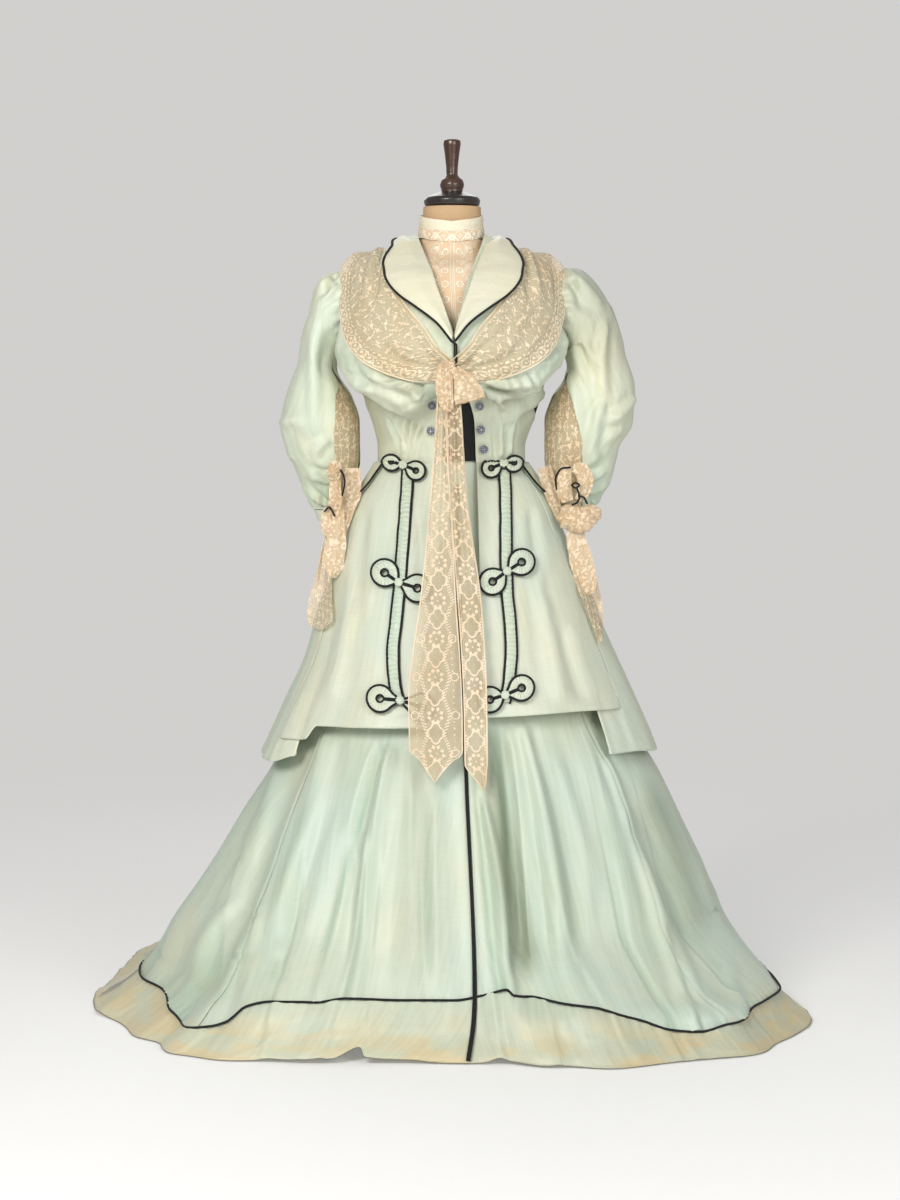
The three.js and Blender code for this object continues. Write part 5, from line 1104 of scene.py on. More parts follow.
def make_skirt():
    """Six gores and the four pieces of the faced flounce; gives back the flounces' hem lines."""
    for name, start, end, columns in GORES:
        place = skirt_place(SKIRT_SEAMS[start], SKIRT_SEAMS[end], lambda angle: flounce_top(angle) + SEAM,
                            lambda angle: SKIRT_TOP + 0 * angle)
        gore, _ = cloth("silk_skirt_" + name, skirt, place, columns, 120, relief=skirt_relief,
                        colours={"cool": skirt_shade_and_tint, "stain": skirt_stain, "shade": skirt_shade})
        cut_piece(gore, SILK_SKIRT_SHADED, "taffeta", "hung", "linen_form", "skirt_" + name)
    hems = []
    for name, start, end, columns in FLOUNCES:
        place = skirt_place(SKIRT_SEAMS[start], SKIRT_SEAMS[end],
                            lambda angle: column(HEM_LIFT, "angle", "height", angle),
                            lambda angle: flounce_top(angle) - SEAM)
        flounce, grid = cloth("silk_flounce_" + name, skirt, place, columns, 24, relief=flounce_relief,
                              colours={"cool": lambda *a: 0.1, "stain": flounce_stain,
                                       "shade": flounce_shade},
                              turned=("low",))
        cut_piece(flounce, SILK_SKIRT_SHADED, "taffeta", "hung", "silk_skirt_front_right", "flounce_" + name)
        hems.append(grid[2])
    return hems


def skirt_trim(hems):
    """Velvet piping over the flounce seam, a doubled one down the centre front, and a hem braid."""
    for name, side in SIDES:
        angle = np.linspace(side * 179.5, 3.1, 420)
        line = on_surface(skirt, angle, flounce_top(angle), 2.6)
        line[:, 2] += 1.2 * (noise(angle / 7, 0 * angle, 33) - 0.5)
        verts, quads = tube_arrays(line, 2.1)
        piping = make_mesh(f"velvet_hem_piping_{name}", verts, quads)
        piece_of(piping, VELVET, "velvet", f"skirt_piping_hem_{name}")
    parts = []
    for shift in (-2.0, 2.0):
        height = np.linspace(5, 930, 240)
        angle = front_seam_angle(height, shift * (1 - 0.4 * smooth(height, 60, 240)))
        parts.append(tube_arrays(on_surface(skirt, angle, height, 3.6), 1.9, up=(0, 1, 0)))
    piece_of(joined("velvet_front_piping", parts), VELVET, "velvet", "skirt_piping_front")
    braid = []
    for line in hems:
        line = line.copy()
        line[:, 2] = np.maximum(line[:, 2] - 0.4, 1.0)
        braid.append(tube_arrays(line, 0.7, sides=6))
    piece_of(joined("hem_braid_line", braid), BRAID, "velvet")


# ---------------------------------------------------------------- jacket skirts
def peplum_place(name, start, end):
    hem = PEPLUM_HEM[name]

    def edge(which, height):
        if which == "under":
            return column(UNDERLAP, "height", "angle", height)
        if which == "behind":
            return column(SIDE_LAP, "height", "angle", height)
        if isinstance(which, str):
            return angle_at(PEPLUM_RINGS, SKIRT_CORNER, column(OPENING, "height", which, height), height)
        return which + 0 * height

    def place(s, t):
        height = mix(520.0, WAIST, t)
        for _ in range(3):
            angle = mix(edge(start, height), edge(end, height), s)
            height = mix(column(hem, "angle", "height", angle), WAIST - SEAM, t)
        return angle, height
    return place


def peplum_relief(points, s, t, u, v):
    angle, height = angle_of(points), points[..., 2]
    off = creases(points[..., 0], height, PEPLUM_CREASES) * smooth(-points[..., 1], -40, 30)
    off = off + fold_push(PEPLUM_FINE, angle, height, 440)
    off = off + 2.0 * (layered(u / 70, v / 160, 52) - 0.5) + 0.5 * crumple(u / 60, v / 75, 57)
    off = off - 0.6 * np.exp(-(((v - 26) / 3.0) ** 2)) + 0.3 * np.exp(-(((v - 33) / 4.0) ** 2))
    behind = smooth(angle, 40, 50) * (1 - smooth(angle, 62.5, 66)) * smooth(820 - height, 0, 60)
    lapped = smooth(angle, -66.5, -64) * smooth(680 - height, 0, 60)
    if angle.max() > 170:
        off = off - 5.0 * behind
    if angle.min() < -170:
        off = off - 5.0 * lapped
    return off * smooth(1 - t, 0, 0.12)


# Painted shade towards the sides and back of the jacket skirts, and cooler silk in random patches.
def peplum_shade_and_tint(points, s, t, u, v):
    behind = 0.3 * smooth(np.abs(angle_of(points)), 60, 80)
    return behind + 0.12 * smooth(layered(u / 80, v / 150, 61), 0.5, 0.7)


def peplum_stain(points, s, t, u, v):
    return 0.16 * smooth(layered(u / 60, v / 120, 77), 0.55, 0.75)


def make_peplum():
    """Fronts and backs of the jacket skirts, and the scalloped flaps on the hips."""
    for name, start, end, columns, turned in PEPLUM_PANELS:
        panel, _ = cloth("silk_jacket_skirt_" + name, peplum, peplum_place(name, start, end), columns, 110,
                         relief=peplum_relief, colours={"cool": peplum_shade_and_tint, "stain": peplum_stain},
                         turned=turned)
        cut_piece(panel, SILK_JACKET, "taffeta", "hung", "silk_bodice_back", "peplum_" + name)
    for name, side in SIDES:
        low, high = FLAP_TURN

        def place(s, t, side=side):
            turn = mix(low, high, s if side == LEFT else 1 - s)
            return side * turn, mix(column(FLAP_EDGE, "angle", "height", turn), WAIST - 3, t)

        flap, _ = cloth(f"silk_hip_flap_{name}", peplum, place, 70, 34, lift=5.0,
                        relief=lambda points, s, t, u, v: 0.6 * crumple(u / 30, v / 30, 71),
                        colours={"cool": lambda *a: 0.2, "stain": lambda *a: 0.25}, turned=("low",))
        cut_piece(flap, SILK_JACKET, "taffeta", "hung", "silk_jacket_skirt_front_" + name, f"hip_flap_{name}")
        turn = np.linspace(low, high, 140)
        edge = on_surface(peplum, side * turn, column(FLAP_EDGE, "angle", "height", turn), 6.8)
        top = on_surface(peplum, np.full(12, side * low), np.linspace(WAIST - 4, edge[0][2] + 1, 12), 6.8)
        verts, quads = tube_arrays(np.concatenate([top, edge]), PIPING)
        piece_of(make_mesh(f"velvet_flap_piping_{name}", verts, quads), VELVET, "velvet")


# ---------------------------------------------------------------- trimming on the jacket skirts
def on_peplum(x, height, lift):
    """A point of the jacket skirts for X across the front and a height."""
    height = np.minimum(height, WAIST + 14)
    return on_surface(peplum, angle_at(PEPLUM_RINGS, SKIRT_CORNER, x, height), height, lift)


def gathers(s, v):
    """Fine ruching across a strip, from -1 to 1."""
    return np.sin(v / 1.3 + 6.0 * noise(v / 11, s * 1.6, 95) + 1.6 * (s - 0.5))


def ruched_band(name):
    """A finely gathered strip between two velvet pipings."""
    low, high = BAND_REACH

    def place(s, t):
        height = mix(low, high, t)
        x = column(BAND_LINE, "height", name, height) + mix(-BAND_HALF, BAND_HALF, s)
        return angle_at(PEPLUM_RINGS, SKIRT_CORNER, x, height), height

    def ruches(points, s, t, u, v):
        return 1.8 * np.sin(math.pi * s) + 0.8 * gathers(s, v) * (0.35 + 0.65 * noise(v / 14, s * 3.0, 93))

    # Painted shade in the troughs of the gathers, over an even cooler tone.
    band, _ = cloth(f"silk_band_{name}", peplum, place, 10, 330, lift=3.4, relief=ruches,
                    colours={"cool": lambda p, s, t, u, v: 0.2 + 0.4 * smooth(-gathers(s, v), 0, 1)})
    cut_piece(band, SILK_TRIM, "trim_taffeta", "gathered", "silk_jacket_skirt_front_" + name,
              "trim_band_" + name)
    parts = []
    for edge in (-1, 1):
        height = np.linspace(low - 2, high + 4, 170)
        x = column(BAND_LINE, "height", name, height) + edge * (BAND_HALF + 0.6)
        x = x + 0.9 * (noise(height / 23, 0 * height, 97 + edge) - 0.5)
        parts.append(tube_arrays(on_peplum(x, height, 3.6), PIPING, up=(1, 0, 0)))
    piece_of(joined(f"velvet_band_piping_{name}", parts), VELVET, "velvet")


def scroll_loop(x, z, cx, cz, radius, lift):
    """One loop of a scroll knot: a ruched ring between an outer curve and an inner teardrop, both
    drawn to the knot at (x, z). Gives the ring's points and the two outlines."""
    toward = math.atan2(z - cz, x - cx)
    reach = math.hypot(z - cz, x - cx)
    turn = np.linspace(-math.pi, math.pi, 121)
    outer = radius + max(reach - 3 - radius, 0) * np.exp(-((turn / 0.34) ** 2)) * 0.9
    slot = 1.5 / np.maximum(np.abs(np.sin(turn)), 1e-3)
    inner = np.where(np.cos(turn) > 0, np.clip(slot, radius * 0.27, reach - 3), radius * 0.27)
    inner = np.minimum(inner, outer - 0.8)
    share = np.linspace(0, 1, 9)[:, None]
    r = mix(inner[None], outer[None], share)
    ruching = np.sin(turn * radius / 1.1 + 3 * noise(turn * 3, share * 3, 88))
    crown = np.sin(math.pi * share) * (2.0 + 0.9 * ruching)
    ring = on_peplum(cx + r * np.cos(turn + toward), cz + r * np.sin(turn + toward), lift + crown)
    lines = []
    for radii in (outer, inner):
        a, rr = np.roll(turn[:-1], 60), np.roll(radii[:-1], 60)
        a, rr = a[1:], rr[1:]
        lines.append(on_peplum(cx + rr * np.cos(a + toward), cz + rr * np.sin(a + toward), lift + 0.6))
    return ring, lines


def make_scrolls():
    for name, x, z, ax, az, bx, bz, radius in SCROLLS:
        lift = 7.2
        silk_parts, piping = [], []
        for cx, cz in ((ax, az), (bx, bz)):
            ring, (outer, inner) = scroll_loop(x, z, cx, cz, radius, lift)
            silk_parts.append((ring.reshape(-1, 3), grid_quads(*ring.shape[:2])))
            piping.append(tube_arrays(outer, PIPING, up=(0, 1, 0)))
            piping.append(tube_arrays(inner, PIPING * 0.85, up=(0, 1, 0)))
        for turn in np.linspace(0, math.pi, 4, endpoint=False):
            lobe = 6.5 * np.array([math.cos(turn), math.sin(turn)])
            line = resample([(x - lobe[0], z - lobe[1]), (x + lobe[0], z + lobe[1])], 1.2)
            silk_parts.append(tube_arrays(on_peplum(line[:, 0], line[:, 1], lift + 1.8), 2.8, up=(0, 1, 0)))
        knot = joined("silk_" + name, silk_parts)
        piece_of(knot, SILK_TRIM, "trim_taffeta", name)
        piece_of(joined("velvet_" + name, piping), VELVET, "velvet")


# ---------------------------------------------------------------- bodice
def front_rows(angle):
    """Heights and pouch shares of every row of the bodice front at each angle."""
    bottom = by_side(POUCH_BOTTOM, "angle", np.abs(angle), angle)
    share = pouch_share(angle)
    heights = [mix(WAIST + SEAM, bottom - 34, k / LOW_ROWS) for k in range(LOW_ROWS)]
    reaches = [0 * angle for _ in range(LOW_ROWS)]
    for turned, plain, reach in POUCH_ROWS:
        heights.append(bottom + mix(plain, turned, share))
        reaches.append(reach + 0 * angle)
    heights.append(mix(bottom + POUCH_ROWS[-1][1], UPPER_ROWS[0], 0.5))
    reaches.append(1 + 0 * angle)
    for height in UPPER_ROWS:
        heights.append(height + 0 * angle)
        reaches.append(1 + 0 * angle)
    return np.array(heights), np.array(reaches)


FRONT_ROWS = LOW_ROWS + len(POUCH_ROWS) + len(UPPER_ROWS)


def between_rows(rows, row):
    """A smooth curve through the rows at a fractional row number."""
    low = np.clip(np.floor(row).astype(int), 0, len(rows) - 2)
    f = row - low
    pick = lambda k: np.take_along_axis(rows, np.clip(low + k, 0, len(rows) - 1)[None], 0)[0]
    a, b, c, d = pick(-1), pick(0), pick(1), pick(2)
    return b + 0.5 * f * (c - a + f * (2 * a - 5 * b + 4 * c - d + f * (3 * (b - c) + d - a)))


def bodice_front(angle, row):
    heights, reaches = front_rows(angle)
    reach = np.clip(between_rows(reaches, row), 0, 1)
    return bodice(angle, between_rows(heights, row), reach)


def front_edge(name, height):
    return angle_at(FITTED_RINGS, BODY_CORNER, column(FRONT_EDGE, "height", name, height), height)


def bodice_relief(points, s, t, u, v):
    x, height = points[..., 0], points[..., 2]
    off = creases(x, height, POUCH_CREASES) * smooth(height, 1030, 1050)
    off = off + creases(x, height, WAIST_CREASES) * (1 - smooth(height, 1045, 1070))
    off = off + 0.8 * crumple(u / 34, v / 60, 101) + 0.45 * crumple(u / 15, v / 25, 102)
    off = off + 1.4 * (layered(u / 50, v / 90, 104) - 0.5)
    return off * smooth(height, 970, 985)


def bodice_cool(points, s, t, u, v):
    return 0.35 * smooth(layered(u / 50, v / 60, 110), 0.45, 0.7)


def bodice_shade(points, s, t, u, v):
    """Dark pockets under the pouch and down the sides."""
    return np.clip(creases(points[..., 0], points[..., 2], BODICE_DARKS), 0, 1)


def make_bodice():
    for name, side in SIDES:
        def place(s, t, name=name, side=side):
            row = t * FRONT_ROWS
            angle = side * 30.0 + 0 * s
            for _ in range(3):
                height = between_rows(front_rows(angle)[0], row)
                inner = front_edge(name, height)
                outer = side * column(ARMHOLE, "height", "front", height)
                angle = mix(inner, outer, s) if side == LEFT else mix(outer, inner, s)
            return angle, row

        inner_edge = "left" if side == LEFT else "right"
        front, _ = cloth("silk_bodice_front_" + name, bodice_front, place, 84, 150, relief=bodice_relief,
                         colours={"cool": bodice_cool, "shade": bodice_shade}, turned=(inner_edge,))
        cut_piece(front, SILK, "taffeta", "draped", "linen_form", "bodice_front_" + name)

    def around(s, t):
        height = mix(WAIST + SEAM, 1371.0, t)
        side = column(ARMHOLE, "height", "back", height)
        return mix(side, FULL_TURN - side, s), height

    def behind(angle, height):
        return fitted((angle + 180) % 360 - 180, height)

    def back_relief(points, s, t, u, v):
        off = 0.4 * crumple(u / 36, v / 60, 121) + 1.6 * (layered(u / 70, v / 110, 124) - 0.5)
        return off - 1.0 * np.exp(-(((s - 0.5) * 220 / 2.5) ** 2)) * smooth(1330 - points[..., 2], 0, 60)

    back, _ = cloth("silk_bodice_back", behind, around, 90, 76, relief=back_relief,
                    colours={"cool": bodice_cool, "stain": lambda *a: 0.0})
    cut_piece(back, SILK, "taffeta", "draped", "linen_form", "bodice_back")

    def panel_place(s, t):
        height = mix(WAIST + 3.0, 1076.0, t)
        return angle_at(FITTED_RINGS, BODY_CORNER, mix(-26.0, 52.0, s), height), height

    panel, _ = cloth("velvet_waist", fitted, panel_place, 24, 30, lift=-4.4,
                     relief=lambda points, s, t, u, v: 0.7 * crumple(u / 20, v / 24, 131))
    cut_piece(panel, VELVET, "velvet", "draped", "linen_form", "velvet_waist_panel")


def rosette_button(name, x, z):
    """A cut-steel rosette: a ring of small beads round a larger one on a dark plate."""
    angle = angle_at(FITTED_RINGS, BODY_CORNER, x, z)
    centre = on_surface(fitted, angle, z, 5.0)
    normal = unit(centre - on_surface(fitted, angle, z, 0.0))
    side = unit(np.cross(normal, (0, 0, 1)))
    up = np.cross(side, normal)
    parts = []
    rings = ((0.0, 1, 2.2, 1.8), (3.9, 8, 1.35, 1.3), (7.0, 15, 1.15, 0.8))
    for radius, count, bead, rise in rings:
        for turn in np.linspace(0, 2 * math.pi, count, endpoint=False):
            place = centre + radius * (math.cos(turn) * side + math.sin(turn) * up) + rise * normal
            parts.append(bead_arrays(place, bead))
    piece_of(joined("steel_" + name, parts), STEEL, "steel", name)
    verts, quads = tube_arrays([centre - 0.8 * normal, centre + 0.3 * normal], 7.8, sides=24, up=side)
    piece_of(make_mesh("plate_" + name, verts, quads), NAVY, "steel")


def bead_arrays(centre, radius, sides=8, rings=6):
    """A small round bead."""
    lat = np.linspace(-math.pi / 2, math.pi / 2, rings + 1)[:, None]
    lon = np.linspace(0, 2 * math.pi, sides, endpoint=False)[None]
    across = np.maximum(np.cos(lat), 0.02)
    points = np.stack([across * np.cos(lon), across * np.sin(lon), np.sin(lat) + 0 * lon], -1)
    return (centre + radius * points).reshape(-1, 3), grid_quads(rings + 1, sides, closed=True)


# ---------------------------------------------------------------- collar, chemisette and neck
def collar_rows(side):
    rows = COLLAR_EDGES
    shift = COLLAR_CENTRE * side
    front_in = angle_at(FITTED_RINGS, BODY_CORNER, shift + rows["inX"], rows["inZ"])
    front_out = angle_at(POUCH_RINGS, BODY_CORNER, shift + rows["outX"], rows["outZ"])
    both = {
        "inAngle": np.concatenate([front_in, COLLAR_BACK["inAngle"]]),
        "outAngle": np.concatenate([front_out, COLLAR_BACK["outAngle"]]),
        "inZ": np.concatenate([rows["inZ"], COLLAR_BACK["inZ"]]),
        "outZ": np.concatenate([rows["outZ"], COLLAR_BACK["outZ"]]),
    }
    both["along"] = np.arange(len(both["inZ"]), dtype=float)
    return both


def strip_place(rows, side):
    """Angle and height on a strip laid round the body, from rows of its outer and inner edges."""
    last = rows["along"][-1]

    def place(s, t):
        along = (s if side == LEFT else 1 - s) * last
        angle = mix(column(rows, "along", "outAngle", along), column(rows, "along", "inAngle", along), t)
        height = mix(column(rows, "along", "outZ", along), column(rows, "along", "inZ", along), t)
        return side * angle, height
    return place


def make_collar():
    for name, side in SIDES:
        rows = collar_rows(side)

        def roll(points, s, t, u, v):
            high = smooth(points[..., 2], 1290, 1370)
            off = 0.35 * crumple(u / 40, v / 26, 141) + 1.2 * np.sin(math.pi * t)
            return off - mix(4.0, 9.5, high) * smooth(t, 0.55, 1) - 5.5 * high

        collar, _ = cloth("silk_collar_" + name, bodice, strip_place(rows, side), 170, 26, lift=13.0,
                          relief=roll, colours={"cool": lambda *a: 0.0}, turned=("low", "high"))
        cut_piece(collar, SILK_PALE, "collar_taffeta", "draped", "silk_bodice_back", "shawl_collar_" + name)
        along = np.linspace(0, rows["along"][-1], 260)
        angle = side * column(rows, "along", "outAngle", along)
        height = column(rows, "along", "outZ", along)
        line = on_surface(bodice, angle, height, 14.2 - 5.5 * smooth(height, 1290, 1370))
        if side == RIGHT:
            down = np.linspace(1172, 1128, 16)
            shut_at = angle_at(POUCH_RINGS, BODY_CORNER, np.full_like(down, CLOSING_X), down)
            closing = on_surface(bodice, shut_at, down, 8.0)
            line = np.concatenate([closing[::-1], line])
        verts, quads = tube_arrays(line, PIPING, up=(0, 1, 0))
        piece_of(make_mesh("velvet_collar_piping_" + name, verts, quads), VELVET, "velvet")


def make_neck():
    def place(s, t):
        height = mix(1180.0, 1364.0, t)
        start = column(FRONT_EDGE, "height", "right", height) - 7
        end = column(FRONT_EDGE, "height", "left", height) + 7
        return angle_at(FITTED_RINGS, BODY_CORNER, mix(start, end, s), height), height

    def folds(points, s, t, u, v):
        cords = 0.9 * np.exp(-((u - 3) / 1.4) ** 2) + 0.9 * np.exp(-((u + 1) / 1.4) ** 2)
        return cords + 0.3 * crumple(u / 20, v / 30, 151)

    def chest(angle, height):
        """The bodice's own ring, drawn in to the neck as it rises."""
        points = fitted(angle, height)
        half = column(NECK_RINGS, "height", "left", np.maximum(height, 1350)) + 3.6
        reach = column(NECK_RINGS, "height", "front", np.maximum(height, 1350)) + 2.6
        near = -reach * np.sqrt(np.clip(1 - (points[..., 0] / half) ** 2, 0.02, 1))
        points[..., 1] = mix(points[..., 1], near, smooth(height, 1312, 1354))
        return points

    front, _ = cloth("lace_front", chest, place, 80, 112, lift=-4.4, relief=folds,
                     colours={"motif": chemisette_motif})
    cut_piece(front, LACE_DENSE, "lace", "draped", "linen_form", "lace_chemisette")
    for name, low, high, material, slot, node in (
            ("lace_collar", "base", "seam", LACE_DENSE, "lace", "lace_neck_collar"),
            ("ribbon_neckband", "seam", "top", IVORY, "ivory_silk", "neckband")):
        def tube(s, t, low=low, high=high):
            angle = mix(-180.0, 180.0, s)
            level = lambda key: column(COLLAR_LEVELS, "angle", key, np.abs(angle))
            return angle, mix(level(low), level(high) - SEAM, t)

        def soft(points, s, t, u, v):
            return 0.8 * np.sin(math.pi * t) + 0.35 * crumple(u / 14, v / 10, 155)

        piece, _ = cloth(name, neck, tube, 180, 16, relief=soft, closed=True, turned=("high",),
                         colours={"motif": neck_motif})
        cut_piece(piece, material, slot, "draped", "linen_form", node)


# ---------------------------------------------------------------- lace charts, in millimetres of flat cloth
def disc(u, v, radius, edge=0.5):
    return 1 - smooth(np.hypot(u, v), radius - edge, radius + edge)


def ring(u, v, radius, half):
    return 1 - smooth(np.abs(np.hypot(u, v) - radius), half - 0.35, half + 0.35)


def flower(u, v, petals, radius):
    turn = np.arctan2(v, u)
    reach = radius * (0.35 + 0.65 * np.abs(np.cos(petals * turn / 2)))
    r = np.hypot(u, v)
    return (1 - smooth(r, reach - 0.4, reach + 0.4)) * smooth(r, 0.12 * radius, 0.12 * radius + 0.5)


def stripe(value, middle, half):
    return 1 - smooth(np.abs(value - middle), half - 0.3, half + 0.3)


def every(value, step):
    """Distance from the middle of the nearest of a row of places a step apart."""
    return (value / step - np.floor(value / step) - 0.5) * step


def leaf(u, v, long, half):
    """A pointed leaf lying along u."""
    width = half * np.clip(1 - (u / long) ** 2, 0, 1)
    return (1 - smooth(np.abs(v) - width, -0.4, 0.4)) * (np.abs(u) < long)


def lobed(u, v, long, half):
    """The outline of a pointed medallion with four lobes."""
    r = np.hypot(u / half, v / long)
    turn = np.arctan2(v / long, u / half)
    reach = 0.72 + 0.28 * np.abs(np.cos(2 * turn)) ** 0.8
    return 1 - smooth(np.abs(r - reach), 0.06, 0.16)


def scattered(u, v, wide, high, seed, stray=0.35):
    """Each place's distances from the middle of its own strayed and turned cell of a loose grid."""
    i, j = np.floor(u / wide).astype(int), np.floor(v / high).astype(int)
    pick = [lattice(seed + k)[i % 64, j % 64] - 0.5 for k in range(3)]
    a = u - (i + 0.5 + stray * pick[0]) * wide
    b = v - (j + 0.5 + stray * pick[1]) * high
    turn = 2 * math.pi * pick[2]
    return a * np.cos(turn) + b * np.sin(turn), b * np.cos(turn) - a * np.sin(turn)


def sprig(a, b):
    """A small flower between two leaves, with dots."""
    return np.max([flower(a, b, 5, 4.4), leaf(a - 6.4, b + 1.5 - 0.4 * a, 3.4, 1.6),
                   leaf(a + 6.2, b - 1.5 - 0.3 * a, 3.4, 1.5),
                   disc(a - 1, b - 7, 1.5), disc(a + 2, b + 7, 1.4)], axis=0)


def tail_motif(points, s, t, u, v):
    """Chains of short bars that part round eight-petalled flowers and close on pointed medallions."""
    half = (u.max(1) - u.min(1))[:, None] / 2
    rise = points[..., 2] - points[..., 2].min()
    step = 63.0
    f, g = every(rise + 13, step), every(rise - 16.5, step)
    wide = 14 + 11 * (1 - np.abs(g) / (step / 2))
    slant = np.abs(every(rise - 0.45 * np.abs(u), 4.8))
    bars = stripe(np.abs(u) - wide, 0, 3.8) * (1 - smooth(slant, 1.0, 1.7))
    medal = np.maximum(lobed(u, f, 17, 14), disc(u, f, 2.2) * 0.5)
    turn, r = np.arctan2(g, u), np.hypot(u, g)
    petal = np.abs(r - 11.0) + 11 * np.abs(every(turn, math.pi / 4))
    petals = (1 - smooth(petal, 3.6, 4.6)) + disc(u, g, 1.8)
    side = ring(np.abs(u) - half + 11.5, g, 6.4, 1.1)
    dots = disc(np.abs(u) - half + 14.0, every(rise, step / 6), 1.7) * (np.abs(g) > 9)
    edge = np.max([stripe(np.abs(u), half - 1.2, 1.3), stripe(np.abs(u), half - 5.0, 0.7) * 0.6], axis=0)
    roomy = smooth(half, 30, 38)
    return np.max([bars, medal, petals, side * roomy, dots * roomy, edge], axis=0)


def bertha_motif(points, s, t, u, v):
    """A scrolled border along the outer edge and leafy sprigs strewn over the ground."""
    u = u + 4.0 * (noise(u / 30, v / 30, 301) - 0.5)
    step = 19.0
    f, g = every(u, step), every(u + step / 2, step)
    turn = np.arctan2(v - 14, f)
    border = np.max([
        stripe(v, 1.6, 1.6), ring(f, v - 13, 7.4 - 1.2 * turn / math.pi, 1.1), disc(f, v - 13, 3.0),
        leaf(g - 1, v - 7 - 0.3 * g, 4.5, 2.0), leaf(g + 1, v - 19 + 0.5 * g, 4.6, 1.9),
        leaf(f + 1, v - 26 - 0.3 * f, 5.6, 1.9), disc(g, v - 27, 2.2),
    ], axis=0)
    a, b = scattered(u, v - 32, 20.0, 18.0, 311)
    c, d = scattered(u + 10, v - 25, 20.0, 18.0, 321, 0.6)
    strewn = np.maximum(sprig(a, b), disc(c, d, 1.9) * 0.9)
    inner = (v.max(0) - v) < 9
    rim = np.maximum(stripe(v.max(0) - v, 1.5, 1.5), stripe(v.max(0) - v, 8, 1.0) * 0.7)
    return np.max([border, strewn * (v > 33) * ~inner, rim], axis=0)


def chemisette_motif(points, s, t, u, v):
    """A double cord down the middle, rings beside it and slanted leaves towards the edges."""
    f = every(v, 30.0)
    across = np.abs(u - 2)
    cords = np.maximum(stripe(across, 3.2, 1.0), stripe(across, 0, 0.5))
    rings = np.max([ring(across - 13, f, 5.6, 1.3), disc(across - 13, f, 1.6)], axis=0)
    slant = np.abs(every(v + 0.7 * across, 6.4))
    bars = stripe(across - 23 - 0.35 * f, 0, 3.4) * (1 - smooth(slant, 1.3, 2.0))
    rise = every(v + 15, 30.0)
    bloom = np.maximum(lobed(across - 33, rise, 9, 8), flower(across - 33, rise, 4, 4))
    dots = disc(across - 9, every(v, 7.5), 1.0)
    return np.max([cords, rings, bars, bloom, dots * 0.7], axis=0)


def neck_motif(points, s, t, u, v):
    return np.max([lobed(every(u, 30.0), v - 10, 10, 12), flower(every(u, 30.0), v - 10, 4, 5.0),
                   flower(every(u + 15, 30.0), v - 9, 4, 7.5), stripe(v, 19.0, 0.8),
                   ring(every(u + 15, 15.0), v - 3, 3.4, 0.9)], axis=0)


def gore_motif(points, s, t, u, v):
    """Lengthwise trails with small sprigs strewn between them."""
    a, b = scattered(u, v, 15.0, 19.0, 331, 0.5)
    c, d = scattered(u + 7, v + 9, 13.0, 11.0, 341, 0.7)
    trail = stripe(every(u + 2.5 * np.sin(v / 11), 17.0), 0, 1.5) * (0.45 + 0.5 * (every(v, 7.0) > -1))
    return np.max([sprig(a, b), disc(c, d, 1.7), 0.8 * trail], axis=0)


# ---------------------------------------------------------------- bertha, bow and tails
def make_bertha():
    """The lace fall: gathered to the knot in front and laid over the shoulders and the back."""
    rows = dict(BERTHA_EDGES)
    rows["along"] = np.arange(len(rows["outZ"]), dtype=float)
    for name, side in SIDES:
        def folds(points, s, t, u, v, side=side):
            along = s if side == LEFT else 1 - s
            near = 1 - smooth(along, 0.04, 0.42)
            turn = np.abs(angle_of(points))
            shoulder = 12.0 * np.exp(-(((turn - 88) / 17) ** 2)) * (1 - smooth(t, 0.05, 0.7))
            off = shoulder + 3.0 * smooth(turn, 120, 150)
            off = off + 3.6 * near * np.sin(2 * math.pi * (3.4 * t + 0.9 * noise(along * 7, 0 * along, 161)))
            off = off + creases(side * points[..., 0], points[..., 2], LACE_CREASES)
            off = off + 2.2 * (layered(u / 34, v / 46, 163) - 0.5) + 0.5 * crumple(u / 22, v / 26, 165)
            return off - 2.5 * smooth(t, 0.93, 1) * smooth(along, 0.2, 0.4)

        lace, _ = cloth("lace_fall_" + name, bodice, strip_place(rows, side), 330, 62, lift=7.0,
                        relief=folds, colours={"motif": bertha_motif})
        cut_piece(lace, LACE, "lace", "draped", "silk_bodice_front_" + name, "lace_bertha_" + name)


LACE_CREASES = [
    (118, 1345, 132, 1235, 3, 6, -5, 0.1, 0.3), (128, 1340, 150, 1240, 3, 6, 4, 0.1, 0.3),
    (20, 1138, 118, 1215, 4, 5, -4, 0.05, 0.5), (20, 1144, 96, 1236, 2, 5, 4, 0.05, 0.5),
    (20, 1130, 140, 1180, 6, 6, 4, 0.05, 0.5), (168, 1325, 178, 1250, 2, 7, -3, 0.2, 0.3),
    (16, 1126, 110, 1142, 7, 5, -4, 0.05, 0.4),
]


def hanging_strip(name, tab, reach, columns, rows, seed, motif):
    """A strip that hangs at Y = -reach(x, height), its edges in X from the table."""
    low, high = tab["height"][0], tab["height"][-1]

    def surface(u, height):
        x = mix(column(tab, "height", "from", height), column(tab, "height", "to", height), u)
        return np.stack([x, -reach(x, height), height], -1)

    def ripple(points, s, t, u, v):
        soft = layered(u / 28, v / 90, seed) - 0.5
        gathered = smooth(points[..., 2], low + 0.30 * (high - low), low + 0.80 * (high - low))
        pleats = np.sin(2 * math.pi * (2.2 * s + 0.5 * noise(v / 90, 0 * v, seed + 1)))
        off = 2.0 * np.sin(math.pi * s) + 6.0 * soft * smooth(high - points[..., 2], 0, 120)
        return off + (0.8 + 2.6 * gathered) * pleats * smooth(high - points[..., 2], -1, 30)

    return cloth(name, surface, lambda s, t: (s, mix(low, high, t)), columns, rows, relief=ripple,
                 colours={"motif": motif})[0]


